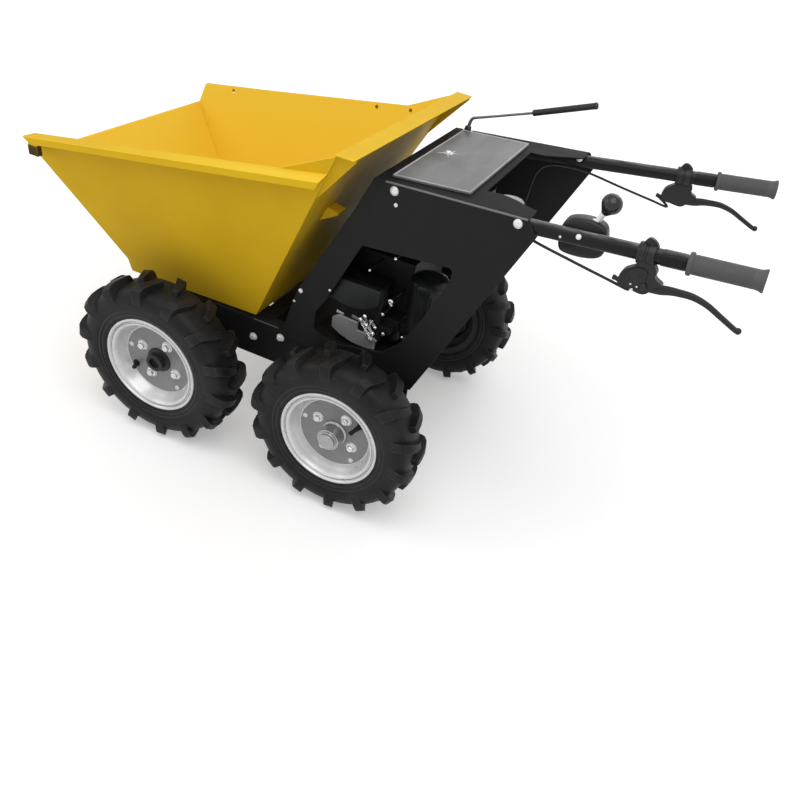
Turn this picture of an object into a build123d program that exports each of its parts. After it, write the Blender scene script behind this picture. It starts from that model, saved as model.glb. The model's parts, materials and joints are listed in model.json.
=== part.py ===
"""Walk-behind four-wheel mini dumper: a tipping skip on a four-wheel chassis, an engine in a sheet-metal
body, and two handles. Millimetres. +X forward, +Y left, +Z up; the ground is z = 0."""

import os
from math import cos, pi, radians, sin

from build123d import *

os.makedirs("parts", exist_ok=True)

# ---------------------------------------------------------------- driving dimensions
# Running gear
axle_mid_x = 184.0          # middle between the axles, ahead of the origin
wheelbase = 464.0
tyre_radius = 203.0         # to the tips of the lugs
tyre_width = 104.0
tyre_centre_y = 328.0
lug_height = 14.0
lug_count = 14              # on each half of the tread
lug_width = 19.0
lug_lead = 25.0             # a lug's shoulder end lies this far ahead of its middle end
rim_bead_radius = 101.6
rim_flange_radius = 117.0
rim_half_width = 46.0
rim_sheet = 3.0
rim_disc_inset = 32.0       # disc behind the outer rim plane
hub_radius = 30.0
hub_flange_radius = 62.0
hub_flange_thickness = 8.0
valve_hole_circle = 68.0
valve_hole_radius = 8.0
hub_shaft_radius = 15.0
shaft_running_gap = 0.05
axle_tube_radius = 23.0
axle_tube_end_y = 262.0
shaft_engagement = 70.0
seat_gap = 0.2              # between pieces that sit against each other

# Chassis
rail_outer_y = 200.0
rail_web = 6.0
rail_flange = 34.0
rail_top_z = 310.0
rail_bottom_z = 211.0
rail_end_rise = 30.0        # the rail's ends are this much shallower
rail_front_x = 538.0
rail_rear_x = -150.0
axle_lug_half = 42.0
axle_lug_drop = 40.0        # lug's foot below the axle's centre
cross_member_size = 40.0
hinge_x = 514.0
hinge_z = 296.0
hinge_pin_radius = 11.0

# Skip, outside faces in side view: (x, z)
skip_front_top = (752.0, 579.0)
skip_front_foot = (592.0, 353.0)
skip_rear_foot = (255.0, 317.0)
skip_skirt_foot = (590.0, 318.0)
skip_lip = (28.0, 794.0)
skip_rim_front = (740.0, 625.0)
skip_rim_rear = (150.0, 733.0)
skip_rim_half_width = 300.0
skip_side_slope = 0.27      # sideways per millimetre of depth below the rim
skip_sheet = 3.0
rim_fold_out = 22.0
rim_fold_drops = (3.0, 10.5)    # outer bend below the rim at the front and at the lip
rim_fold_height = 15.0
rim_corner_reach = 12.0     # outer front corner ahead of the rim's front end
rim_tab_size = (22.0, 12.0, 20.0)
board_hole_xs = (650.0, 230.0, 138.0)
board_hole_radius = 4.5
board_hole_drop = 11.0      # holes below the rim
lip_reach = 36.0
lip_gusset_tip = 4.0
lip_gusset_drop = 108.0
lip_gusset_inset = 9.0
catch_y = 150.0
catch_z = 592.0
catch_width = 36.0
catch_reach = 26.0
hinge_bracket_y = 120.0
hinge_bracket_width = 80.0
hinge_bracket_sheet = 6.0
hinge_ear_radius = 26.0

# Body
body_front_x = -12.0
body_half_width = 221.5     # outside, at the front of the body
body_splay = 0.085          # sideways per millimetre towards the rear
body_sheet = 3.0
body_foot_z = 300.0
window_corner_radius = 9.0
deck_front_z = 743.0
deck_slope = 0.0945         # rise per millimetre towards the rear
deck_opening_x = -218.0
deck_rear_x = -331.0
tray_front_x = -38.0
tray_rear_x = -200.0
tray_half_width = 196.0
tray_height = 5.0

# Engine and transmission
bed_front_x = 120.0
bed_sheet = 6.0
crank_height = 146.0        # above the engine bed
crankcase_half_width = 100.0
fan_cover_x = -8.0          # crank line, along the machine
fan_cover_radius = 136.5
fan_cover_depth = 70.0
gearbox_half_width = 80.0
gearbox_front_x = 230.0
gearbox_wall = 19.0         # behind the rear axle tube
propshaft_radius = 16.0

# Handles
handle_tube_radius = 14.0
handle_tube_wall = 2.5
handle_front_x = -40.0
handle_end_x = -749.0
handle_slope = 0.133
grip_length = 129.0
grip_radius = 17.5
grip_collar = 3.0           # collars stand this much proud of the grip
bracket_gap = 70.0          # from the grip's front to the brake lever's clamp
lever_offset = 8.0          # lever and its body outboard of the tube's centre
lever_thickness = 7.0
lever_width = 13.0
cable_radius = 3.0
shifter_place = 0.452       # along the bare tube, from the deck to the clamp
release_rod_radius = 4.5
release_bush_height = 14.0
release_bush_radius = 8.0


# ---------------------------------------------------------------- shared helpers
def write(piece, label):
    """Label a finished piece and write it to its own STEP file."""
    piece.label = label
    export_step(piece, f"parts/{label}.step")


def rod(start, end, radius, bore=0.0):
    """A round bar, or a tube when it has a bore, between two points."""
    axis = Vector(*end) - Vector(*start)
    with BuildPart() as bar:
        with BuildSketch(Plane(origin=start, z_dir=axis)):
            Circle(radius)
            if bore > 0:
                Circle(bore, mode=Mode.SUBTRACT)
        extrude(amount=axis.length)
    return bar.part


def side_profile(points, left_y, right_y):
    """An outline in side view, extruded from one width to the other."""
    with BuildPart() as solid:
        with BuildSketch(Plane.XZ.offset(-left_y)):
            with BuildLine():
                Polyline(*points, close=True)
            make_face()
        extrude(amount=left_y - right_y)
    return solid.part


def block(low, high):
    """A box given by two opposite corners."""
    with BuildPart() as solid:
        with Locations([(Vector(*low) + Vector(*high)) * 0.5]):
            Box(*(b - a for a, b in zip(low, high)))
    return solid.part


def mirrored(shape):
    """The same piece on the right-hand side."""
    with BuildPart() as copy:
        mirror(shape, about=Plane.XZ)
    return copy.part


def joined(*shapes):
    """Several shapes as one piece."""
    with BuildPart() as whole:
        for shape in shapes:
            add(shape)
    return whole.part


def on_the_right(plane):
    """The mirror image of a plane on the left side."""
    return Plane(origin=(plane.origin.X, -plane.origin.Y, plane.origin.Z),
                 z_dir=(plane.z_dir.X, -plane.z_dir.Y, plane.z_dir.Z))


def between(shape, left_plane):
    """Trim a piece to what lies between a plane on the left side and its mirror image."""
    with BuildPart() as trimmed:
        add(shape)
        split(bisect_by=left_plane, keep=Keep.BOTTOM)
        split(bisect_by=on_the_right(left_plane), keep=Keep.BOTTOM)
    return trimmed.part


axle_z = tyre_radius
axle_x = {"front": axle_mid_x + wheelbase / 2, "rear": axle_mid_x - wheelbase / 2}
carcass_radius = tyre_radius - lug_height


# ---------------------------------------------------------------- wheels
def make_lug(side):
    """One tread bar at the top of the wheel: from the middle of the tread, round the shoulder, to the wall."""
    shoulder_y = tyre_width / 2 - 12
    wall_y = tyre_width / 2 + 2
    # where the bar's three sections stand: (y, lead, foot radius, top radius, share of the full width)
    sections = [(-3, 0.0, carcass_radius - 6, tyre_radius, 0.8),
                (shoulder_y, lug_lead * 0.8, carcass_radius - 9, tyre_radius - 4, 1.0),
                (wall_y, lug_lead, carcass_radius - 32, tyre_radius - 20, 1.15)]
    with BuildPart() as lug:
        for y, lead, foot, top, share in sections:
            with BuildSketch(Plane.XZ.offset(-side * y)):
                with Locations((lead, (foot + top) / 2)):
                    Rectangle(lug_width * share, top - foot)
        loft(ruled=True)
    return lug.part


def make_tyre():
    """A tractor-tread tyre about the Y axis: carcass with slanted bars on both halves."""
    half = tyre_width / 2
    bead_y = rim_half_width - 4.5
    # half section of the carcass: (distance from the wheel's middle plane, radius)
    section = [(0, carcass_radius), (half - 14, carcass_radius - 4), (half, carcass_radius - 24),
               (half, carcass_radius - 40), (bead_y, rim_flange_radius + 1), (bead_y, rim_bead_radius + seat_gap)]
    pitch = 360.0 / lug_count
    with BuildPart() as tyre:
        with BuildSketch(Plane.YZ):
            with BuildLine():
                Polyline(*section, *[(-y, r) for y, r in reversed(section[1:])], close=True)
            make_face()
        revolve(axis=Axis.Y)
        for side, shift in ((1, 0.0), (-1, 0.5)):
            lug = make_lug(side)
            for turn in range(lug_count):
                add(lug, rotation=(0, (turn + shift) * pitch, 0))
    return tyre.part


def make_rim():
    """A pressed wheel about the Y axis, its dished disc towards +Y."""
    half = rim_half_width
    well = rim_bead_radius - 14
    disc = half - rim_disc_inset
    lip = 4.0
    inside = rim_bead_radius - rim_sheet
    # outside of the barrel, from the outer flange to the inner one
    outer = [(half, rim_flange_radius), (half - lip, rim_flange_radius), (half - lip, rim_bead_radius),
             (half - 22, rim_bead_radius), (half - 28, well), (-half + 28, well), (-half + 22, rim_bead_radius),
             (-half + lip, rim_bead_radius), (-half + lip, rim_flange_radius), (-half, rim_flange_radius)]
    # inside, back to the outer flange, with the disc from the well to the hub
    inner = [(-half, inside), (-half + 21, inside), (-half + 27, well - rim_sheet),
             (disc - lip, well - rim_sheet), (disc - lip, hub_radius + seat_gap), (disc, hub_radius + seat_gap),
             (disc, well - 3 * rim_sheet), (disc + 2 * rim_sheet, well - rim_sheet), (half - 21, inside), (half, inside)]
    with BuildPart() as rim:
        with BuildSketch(Plane.YZ):
            with BuildLine():
                Polyline(*outer, *inner, close=True)
            make_face()
        revolve(axis=Axis.Y)
        with BuildSketch(Plane.XZ.offset(-disc)):
            with Locations((0, -valve_hole_circle)):
                Circle(valve_hole_radius)
        extrude(amount=2 * lip, both=True, mode=Mode.SUBTRACT)
    return rim.part


def make_hub(driven_cap):
    """A wheel hub about the Y axis with its shaft inwards, its nose towards +Y."""
    disc_back = rim_half_width - rim_disc_inset - 4
    flange_face = disc_back - seat_gap
    flange_back = flange_face - hub_flange_thickness
    shaft_end = axle_tube_end_y - shaft_engagement - tyre_centre_y
    shaft_root = axle_tube_end_y + 3 - tyre_centre_y
    # the nose beyond the disc: (y, radius); a stepped cap on the driven wheels, a plain ring on the others
    if driven_cap:
        nose = [(disc_back + 9, 26.0), (rim_half_width + 2, 26.0), (rim_half_width + 2, 19.0),
                (rim_half_width + 11, 19.0), (rim_half_width + 11, 0)]
    else:
        nose = [(disc_back + 9, 21.0), (rim_half_width - 12, 21.0), (rim_half_width - 12, 13.0),
                (rim_half_width - 20, 13.0), (rim_half_width - 20, 0)]
    with BuildPart() as hub:
        with BuildSketch(Plane.YZ):
            with BuildLine():
                Polyline((shaft_end, 0), (shaft_end, hub_shaft_radius), (shaft_root, hub_shaft_radius),
                         (shaft_root, hub_radius), (flange_back, hub_radius), (flange_back, hub_flange_radius),
                         (flange_face, hub_flange_radius), (flange_face, hub_radius),
                         (disc_back + 7, hub_radius), *nose, close=True)
            make_face()
        revolve(axis=Axis.Y)
    return hub.part


tyre_shape = make_tyre()
rim_shape = make_rim()
hub_shapes = {"front": make_hub(False), "rear": make_hub(True)}
for end in ("front", "rear"):
    for label, shape in (("tyre", tyre_shape), ("rim", rim_shape), ("hub", hub_shapes[end])):
        with BuildPart() as left_piece:
            with Locations((axle_x[end], tyre_centre_y, axle_z)):
                add(shape)
        write(left_piece.part, f"{label}_{end}_left")
        write(mirrored(left_piece.part), f"{label}_{end}_right")

# ---------------------------------------------------------------- axles and chassis
for end in ("front", "rear"):
    with BuildPart() as axle:
        with Locations(Plane((axle_x[end], 0, axle_z), z_dir=(0, 1, 0))):
            Cylinder(axle_tube_radius, 2 * axle_tube_end_y)
        with Locations([Plane((axle_x[end], s * axle_tube_end_y, axle_z), z_dir=(0, s, 0)) for s in (1, -1)]):
            Hole(hub_shaft_radius + shaft_running_gap, depth=shaft_engagement + 6)
    write(axle.part, f"axle_{end}")


def rail_outline():
    """The rail's web in side view, with a lug down around each axle."""
    foot = axle_z - axle_lug_drop
    end_z = rail_bottom_z + rail_end_rise
    points = [(rail_rear_x, rail_top_z), (rail_front_x, rail_top_z), (rail_front_x, end_z)]
    for end in ("front", "rear"):
        x = axle_x[end]
        points += [(x + axle_lug_half + 20, rail_bottom_z), (x + axle_lug_half - 8, foot),
                   (x - axle_lug_half + 8, foot), (x - axle_lug_half - 20, rail_bottom_z)]
    return points + [(rail_rear_x, end_z)]


with BuildPart() as rail:
    with BuildSketch(Plane.XZ.offset(-rail_outer_y)):
        with BuildLine():
            Polyline(*rail_outline(), close=True)
        make_face()
        with Locations(*[(axle_x[end], axle_z) for end in ("front", "rear")]):
            Circle(axle_tube_radius + seat_gap, mode=Mode.SUBTRACT)
        with Locations((hinge_x, hinge_z)):
            Circle(hinge_pin_radius + seat_gap, mode=Mode.SUBTRACT)
    extrude(amount=rail_web)
    top_flange_front_x = hinge_x - hinge_ear_radius - 8
    add(block((rail_rear_x, rail_outer_y - rail_flange, rail_top_z - rail_web),
              (top_flange_front_x, rail_outer_y - rail_web, rail_top_z)))
    add(block((axle_x["rear"] + 70, rail_outer_y - rail_flange, rail_bottom_z),
              (axle_x["front"] - 70, rail_outer_y - rail_web, rail_bottom_z + rail_web)))
write(rail.part, "chassis_rail_left")
write(mirrored(rail.part), "chassis_rail_right")

cross_member_xs = (rail_rear_x + 30, axle_mid_x + 60, hinge_x - 70)
member_top_z = rail_top_z - rail_web - seat_gap
with BuildPart() as cross_members:
    member_end_y = rail_outer_y - rail_web - seat_gap
    for x in cross_member_xs:
        add(block((x - cross_member_size / 2, -member_end_y, member_top_z - cross_member_size),
                  (x + cross_member_size / 2, member_end_y, member_top_z)))
write(cross_members.part, "chassis_crossmembers")
pin_end_y = rail_outer_y + 6
write(rod((hinge_x, -pin_end_y, hinge_z), (hinge_x, pin_end_y, hinge_z), hinge_pin_radius), "hinge_pin")

# ---------------------------------------------------------------- skip
rim_slope = (skip_rim_rear[1] - skip_rim_front[1]) / (skip_rim_front[0] - skip_rim_rear[0])


def rim_z(x):
    """Height of the skip's straight side rim."""
    return skip_rim_front[1] + (skip_rim_front[0] - x) * rim_slope


def skip_side_plane(inset):
    """The left side's plane, moved inwards by the inset; its normal points outwards."""
    normal = Vector(-skip_side_slope * rim_slope, 1, -skip_side_slope)
    origin = Vector(skip_rim_front[0], skip_rim_half_width, skip_rim_front[1]) - normal.normalized() * inset
    return Plane(origin=origin, z_dir=normal)


def skip_side_y(x, z):
    """Half width of the skip, outside, at a point in side view."""
    return skip_rim_half_width - skip_side_slope * (rim_z(x) - z)


def inset_corner(before, corner, after, inset):
    """The corner of an outline moved inwards from both of its edges (outline runs anticlockwise)."""
    a = (Vector(*corner) - Vector(*before)).normalized()
    b = (Vector(*after) - Vector(*corner)).normalized()
    inward_a, inward_b = Vector(-a.Y, a.X), Vector(-b.Y, b.X)
    shift = (inward_a + inward_b) * (inset / (1 + inward_a.dot(inward_b)))
    return (corner[0] + shift.X, corner[1] + shift.Y)


def outside_x(z, top, foot):
    """Outside of the skip's front or rear wall at a height."""
    return foot[0] + (z - foot[1]) * (top[0] - foot[0]) / (top[1] - foot[1])


# side view, anticlockwise: lip, rear foot, front foot, front top
floor_front_in = inset_corner(skip_rear_foot, skip_front_foot, skip_front_top, skip_sheet)
floor_rear_in = inset_corner(skip_lip, skip_rear_foot, skip_front_foot, skip_sheet)
front_top_in = inset_corner(skip_front_foot, skip_front_top,
                            (skip_front_top[0] - 10, skip_front_top[1] + 7), skip_sheet)
lip_in = (skip_lip[0] + skip_sheet * 1.1, skip_lip[1])
skip_wide = skip_rim_half_width * 1.5    # wider than the skip, before it is cut to its sides
rear_wall_plane = Plane(origin=(skip_lip[0], 0, skip_lip[1]),
                        z_dir=(skip_rear_foot[1] - skip_lip[1], 0, skip_lip[0] - skip_rear_foot[0]))



def rim_section(x):
    """Section of the folded rim: a flange that falls outwards, then a turned-down face."""
    along = (skip_rim_front[0] - x) / (skip_rim_front[0] - skip_lip[0])
    bend = rim_fold_drops[0] + (rim_fold_drops[1] - rim_fold_drops[0]) * along
    inner = rim_fold_out - skip_sheet
    corner = Vector(x, skip_rim_half_width, rim_z(x))
    with BuildSketch(Plane(origin=corner, x_dir=(0, 1, 0), z_dir=(-1, 0, 0))) as section:
        with BuildLine():
            Polyline((-skip_sheet, 0), (0, 0), (rim_fold_out, bend), (rim_fold_out, bend + rim_fold_height),
                     (inner, bend + rim_fold_height), (inner, bend + skip_sheet), (-skip_sheet, skip_sheet),
                     close=True)
        make_face()
    return section.sketch


fold_outside_y = skip_rim_half_width + rim_fold_out
rim_front_x, rim_front_z = skip_rim_front
fold_foot_front = rim_front_z - rim_fold_drops[0] - rim_fold_height
with BuildPart() as rim_fold:
    loft([rim_section(rim_front_x + 2 * rim_corner_reach), rim_section(skip_lip[0] - rim_corner_reach)], ruled=True)
    split(bisect_by=Plane(origin=(rim_front_x, skip_rim_half_width, 0), z_dir=(rim_fold_out, -rim_corner_reach, 0)),
          keep=Keep.BOTTOM)
    slant_top = (rim_front_x + rim_corner_reach, rim_front_z - rim_fold_drops[0])
    slant_foot = (rim_front_x - rim_corner_reach, fold_foot_front)
    add(side_profile([slant_top, slant_foot, (slant_foot[0], slant_foot[1] - rim_fold_height),
                      (slant_top[0] + rim_fold_out, slant_foot[1] - rim_fold_height),
                      (slant_top[0] + rim_fold_out, slant_top[1])], skip_wide, 0), mode=Mode.SUBTRACT)
    split(bisect_by=rear_wall_plane, keep=Keep.BOTTOM)
    tab_length, tab_width, tab_height = rim_tab_size
    tab_front_x = rim_front_x - skip_sheet
    add(block((tab_front_x - tab_length, fold_outside_y - 1 - tab_width, fold_foot_front - tab_height),
              (tab_front_x, fold_outside_y - 1, fold_foot_front + skip_sheet)))

with BuildPart() as side:
    add(side_profile([skip_lip, skip_rear_foot, skip_skirt_foot, skip_front_foot, skip_front_top, skip_rim_front,
                      skip_rim_rear], skip_wide, 0))
    split(bisect_by=skip_side_plane(0), keep=Keep.BOTTOM)
    split(bisect_by=skip_side_plane(skip_sheet), keep=Keep.TOP)
    add(rim_fold.part)
    split(bisect_by=rear_wall_plane, keep=Keep.BOTTOM)
    hole_plane = skip_side_plane(skip_sheet)
    for hole_x in board_hole_xs:
        hole_z = rim_z(hole_x) - board_hole_drop
        with BuildSketch(Plane(origin=(hole_x, skip_side_y(hole_x, hole_z), hole_z), z_dir=hole_plane.z_dir)):
            Circle(board_hole_radius)
        extrude(amount=2 * skip_sheet, both=True, mode=Mode.SUBTRACT)
write(side.part, "skip_side_left")
write(mirrored(side.part), "skip_side_right")

gusset_foot_z = skip_lip[1] - lip_gusset_drop
lip_gusset = side_profile([(skip_lip[0] + 1, skip_lip[1]), (skip_lip[0] - lip_reach + 1, skip_lip[1]),
                           (skip_lip[0] - lip_reach + 1, skip_lip[1] - lip_gusset_tip),
                           (outside_x(gusset_foot_z, skip_lip, skip_rear_foot) + 1, gusset_foot_z)], skip_wide, 0)
with BuildPart() as left_gusset:
    add(lip_gusset)
    split(bisect_by=skip_side_plane(lip_gusset_inset), keep=Keep.BOTTOM)
    split(bisect_by=skip_side_plane(lip_gusset_inset + skip_sheet), keep=Keep.TOP)

skip_strips = {
    "skip_floor": [skip_rear_foot, skip_front_foot, floor_front_in, floor_rear_in],
    "skip_front": [skip_front_foot, skip_front_top, front_top_in, floor_front_in],
    "skip_rear": [skip_lip, skip_rear_foot, floor_rear_in, lip_in],
}
for label, outline in skip_strips.items():
    with BuildPart() as strip:
        add(between(side_profile(outline, skip_wide, -skip_wide), skip_side_plane(skip_sheet)))
        if label == "skip_rear":
            lip_half = skip_side_y(*skip_lip)
            x, z = skip_lip
            add(block((x - lip_reach, -lip_half, z), (lip_in[0], lip_half, z + skip_sheet)))
            add(left_gusset.part)
            add(mirrored(left_gusset.part))
    write(strip.part, label)

floor_slope = (skip_front_foot[1] - skip_rear_foot[1]) / (skip_front_foot[0] - skip_rear_foot[0])


def floor_z(x):
    """Height of the skip floor's underside."""
    return skip_rear_foot[1] + (x - skip_rear_foot[0]) * floor_slope


ear_rear_x, ear_front_x = hinge_x - 38, hinge_x + 46
bracket_back_y = hinge_bracket_y - hinge_bracket_width / 2
with BuildPart() as left_bracket:
    for ear_y in (bracket_back_y, bracket_back_y + hinge_bracket_width - hinge_bracket_sheet):
        with BuildSketch(Plane.XZ.offset(-ear_y)):
            with Locations((hinge_x, hinge_z)):
                Circle(hinge_ear_radius)
            with BuildLine():
                Polyline((hinge_x - hinge_ear_radius, hinge_z), (hinge_x + hinge_ear_radius, hinge_z),
                         (ear_front_x, floor_z(ear_front_x)), (ear_rear_x, floor_z(ear_rear_x)), close=True)
            make_face()
        extrude(amount=-hinge_bracket_sheet)
    add(block((ear_rear_x + 2, bracket_back_y, hinge_z + 24),
              (ear_rear_x + 2 + hinge_bracket_sheet, bracket_back_y + hinge_bracket_width, floor_z(ear_rear_x))))
    with Locations(Plane((hinge_x, hinge_bracket_y, hinge_z), z_dir=(0, 1, 0))):
        Cylinder(hinge_pin_radius + shaft_running_gap, hinge_bracket_width + 10, mode=Mode.SUBTRACT)
write(joined(left_bracket.part, mirrored(left_bracket.part)), "skip_hinge_brackets")

# catch on the outside of the rear wall
catch_foot_x = outside_x(catch_z, skip_lip, skip_rear_foot)
catch_top_x = outside_x(catch_z + 34, skip_lip, skip_rear_foot)
write(side_profile([(catch_foot_x, catch_z), (catch_top_x, catch_z + 34), (catch_top_x - catch_reach, catch_z + 30),
                    (catch_top_x - catch_reach, catch_z + 24)], catch_y + catch_width / 2, catch_y - catch_width / 2),
      "skip_catch")

# ---------------------------------------------------------------- body
def body_side_plane(inset):
    """The left body plate's plane, moved inwards by the inset."""
    normal = Vector(body_splay, 1, 0)
    return Plane(origin=Vector(body_front_x, body_half_width, 0) - normal.normalized() * inset, z_dir=normal)


def deck_z(x):
    """Top of the sloping deck."""
    return deck_front_z + (body_front_x - x) * deck_slope


body_wide = body_half_width * 1.5        # wider than the body, before it is cut to its sides
panel_corner = (24, deck_front_z - 79)   # where the front edge turns in to the deck
panel_foot = (141, 439)
body_outline = [(body_front_x, deck_z(body_front_x)), panel_corner, panel_foot, (170, 338), (182, body_foot_z),
                (-104, body_foot_z), (-167, body_foot_z + 8), (-354, deck_front_z + 3), (-333, deck_z(-333))]
window_outline = [(-4, 597), (-208, 625), (-208, 598), (-163, 489), (-125, 415), (-85, 372), (40, 338), (92, 352),
                  (92, 398), (68, 439)]
with BuildSketch(Plane.XZ) as window:
    with BuildLine():
        Polyline(*window_outline, close=True)
    make_face()
    fillet(window.vertices(), window_corner_radius)
with BuildPart() as plate:
    with BuildSketch(Plane.XZ):
        with BuildLine():
            Polyline(*body_outline, close=True)
        make_face()
        add(window.sketch, mode=Mode.SUBTRACT)
    extrude(amount=-body_wide)
    split(bisect_by=body_side_plane(0), keep=Keep.BOTTOM)
    split(bisect_by=body_side_plane(body_sheet), keep=Keep.TOP)
write(plate.part, "body_plate_left")
write(mirrored(plate.part), "body_plate_right")

between_plates = body_side_plane(body_sheet + seat_gap)
panel_top_z = deck_z(body_front_x) - body_sheet - seat_gap
front_sheet = [(body_front_x, panel_top_z), panel_corner, panel_foot, (panel_foot[0] - body_sheet, panel_foot[1]),
               (panel_corner[0] - body_sheet, panel_corner[1]), (body_front_x - body_sheet, panel_top_z)]
write(between(side_profile(front_sheet, body_wide, -body_wide), between_plates), "body_front_panel")

deck_section = [(body_front_x, deck_z(body_front_x)), (deck_rear_x, deck_z(deck_rear_x)),
                (deck_rear_x, deck_z(deck_rear_x) - body_sheet),
                (body_front_x, deck_z(body_front_x) - body_sheet)]
opening_half = 150.0                     # at the opening's front
opening_rear_half = 196.0
with BuildPart() as deck:
    add(between(side_profile(deck_section, body_wide, -body_wide), between_plates))
    with BuildSketch(Plane.XY.offset(deck_z(deck_rear_x) + 10)):
        with BuildLine():
            Polyline((deck_opening_x, opening_half), (deck_opening_x - 35, opening_half),
                     (deck_rear_x - 5, opening_rear_half), (deck_rear_x - 5, -opening_rear_half),
                     (deck_opening_x - 35, -opening_half), (deck_opening_x, -opening_half), close=True)
        make_face()
    extrude(amount=-80, mode=Mode.SUBTRACT)
write(deck.part, "body_deck")

with BuildPart() as tray:
    add(side_profile([(tray_front_x, deck_z(tray_front_x)), (tray_rear_x, deck_z(tray_rear_x)),
                      (tray_rear_x, deck_z(tray_rear_x) + tray_height),
                      (tray_front_x, deck_z(tray_front_x) + tray_height)], tray_half_width, -tray_half_width))
    chamfer(tray.edges().group_by(Axis.Z)[-1], 2)
write(tray.part, "deck_tray")

# ---------------------------------------------------------------- engine and transmission
bed_top = rail_top_z + bed_sheet
bed = block((rail_rear_x, -body_wide, rail_top_z), (bed_front_x, body_wide, bed_top))
write(between(bed, between_plates), "engine_bed")

crank_z = bed_top + crank_height
crankcase_top = crank_z + 70
crankcase_y = crankcase_half_width
write(joined(block((-84, -crankcase_y, bed_top), (80, crankcase_y, crankcase_top)),
             block((-84, -crankcase_y + 20, crankcase_top - 10), (30, crankcase_y - 30, crankcase_top + 60))),
      "engine_block")

# cooling-fan cover: the foot of a large round shell, flat-sided, in front of the crankcase
cover_back_y = crankcase_y + seat_gap
cover_face_y = cover_back_y + fan_cover_depth


def cover_foot(x):
    """Point on the cover's round foot, at a distance from the crank line."""
    return (fan_cover_x + x, crank_z - (fan_cover_radius ** 2 - x ** 2) ** 0.5)


cover_front, cover_rear = cover_foot(78.0), cover_foot(-36.0)
cover_top_z = crank_z + 20
with BuildPart() as cover:
    with BuildSketch(Plane.XZ.offset(-cover_back_y)):
        with BuildLine():
            ThreePointArc(cover_front, cover_foot(0.0), cover_rear)
            Polyline(cover_rear, (cover_rear[0], cover_top_z), (cover_front[0], cover_top_z), cover_front)
        make_face()
    extrude(amount=-fan_cover_depth)
    with Locations((fan_cover_x + 2, cover_face_y - 6, crank_z - 84)):
        Box(20, 14, 24, mode=Mode.SUBTRACT)
write(cover.part, "engine_fan_cover")

# switch box on the cover, rounded below
box_back_y = cover_face_y + seat_gap
with BuildPart() as switch_box:
    with BuildSketch(Plane.XZ.offset(-box_back_y)):
        with BuildLine():
            ThreePointArc((cover_front[0] + 1, crank_z - 24), (14, crank_z - 36), (-42, crank_z - 12))
            Polyline((-42, crank_z - 12), (-46, crank_z + 28), (cover_front[0] + 1, crank_z + 28),
                     (cover_front[0] + 1, crank_z - 24))
        make_face()
    extrude(amount=-18)
write(switch_box.part, "engine_switch_box")

carburettor_rear_x = -84.0
cleaner_x, cleaner_y, cleaner_radius, cleaner_foot_z = -132.0, 116.0, 42.0, crank_z - 76
carburettor_front_x = cover_rear[0] - seat_gap
with BuildPart() as carburettor:
    for low, high in (((carburettor_rear_x, crankcase_y + seat_gap, crank_z - 88),
                       (carburettor_front_x, crankcase_y + 46, crank_z - 54)),
                      ((-72, crankcase_y + 40, crank_z - 84), (carburettor_front_x, crankcase_y + 66, crank_z - 68))):
        add(block(low, high))
    add(rod((-66, crankcase_y + 24, crank_z - 112), (-66, crankcase_y + 24, crank_z - 86), 15.0))
write(carburettor.part, "engine_carburettor")
with BuildPart() as cleaner:
    # drum and its lid: (foot, height, radius)
    for foot, height, radius in ((cleaner_foot_z, 124, cleaner_radius), (cleaner_foot_z + 124, 10, cleaner_radius + 3)):
        with BuildSketch(Plane.XY.offset(foot)):
            with Locations((cleaner_x, cleaner_y)):
                Circle(radius)
        extrude(amount=height)
    add(block((cleaner_x + 20, crankcase_y + 8, crank_z - 84),
              (carburettor_rear_x - seat_gap, crankcase_y + 38, crank_z - 58)))
write(cleaner.part, "engine_air_cleaner")
tank_bottom = crankcase_top + 60 + seat_gap
with BuildPart() as tank:
    add(block((-172, -120, tank_bottom), (2, 116, tank_bottom + 90)))
    fillet(tank.edges().filter_by(Axis.Z), 22)
    with Locations((-120, 40, tank_bottom + 90)):
        Cylinder(26, 14, align=(Align.CENTER, Align.CENTER, Align.MIN))
write(tank.part, "engine_fuel_tank")
write(block((-84, -crankcase_y - 66, crankcase_top - 60), (60, -crankcase_y - seat_gap, crankcase_top)),
      "engine_muffler")

with BuildPart() as gearbox:
    add(block((axle_x["rear"] - axle_tube_radius - gearbox_wall, -gearbox_half_width, axle_z - 35),
              (gearbox_front_x, gearbox_half_width, member_top_z - cross_member_size)))
    fillet(gearbox.edges().filter_by(Axis.Y), 14)
    with Locations(Plane((axle_x["rear"], 0, axle_z), z_dir=(0, 1, 0))):
        Cylinder(axle_tube_radius + seat_gap, 4 * gearbox_half_width, mode=Mode.SUBTRACT)
write(gearbox.part, "gearbox")
write(rod((gearbox_front_x + seat_gap, 0, axle_z), (axle_x["front"] - axle_tube_radius - seat_gap, 0, axle_z),
          propshaft_radius), "propshaft")

# ---------------------------------------------------------------- handles and controls
tube_seat = handle_tube_radius + seat_gap + 0.1
handle_rear_z = deck_z(deck_rear_x) - body_sheet - tube_seat     # where the tube leaves the body


def handle_point(x):
    """A point on the left handle tube's centre line, against the inside of the body plate."""
    plate_y = body_half_width + (body_front_x - x) * body_splay - body_sheet
    return (x, plate_y - tube_seat, handle_rear_z + (deck_rear_x - x) * handle_slope)


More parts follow.
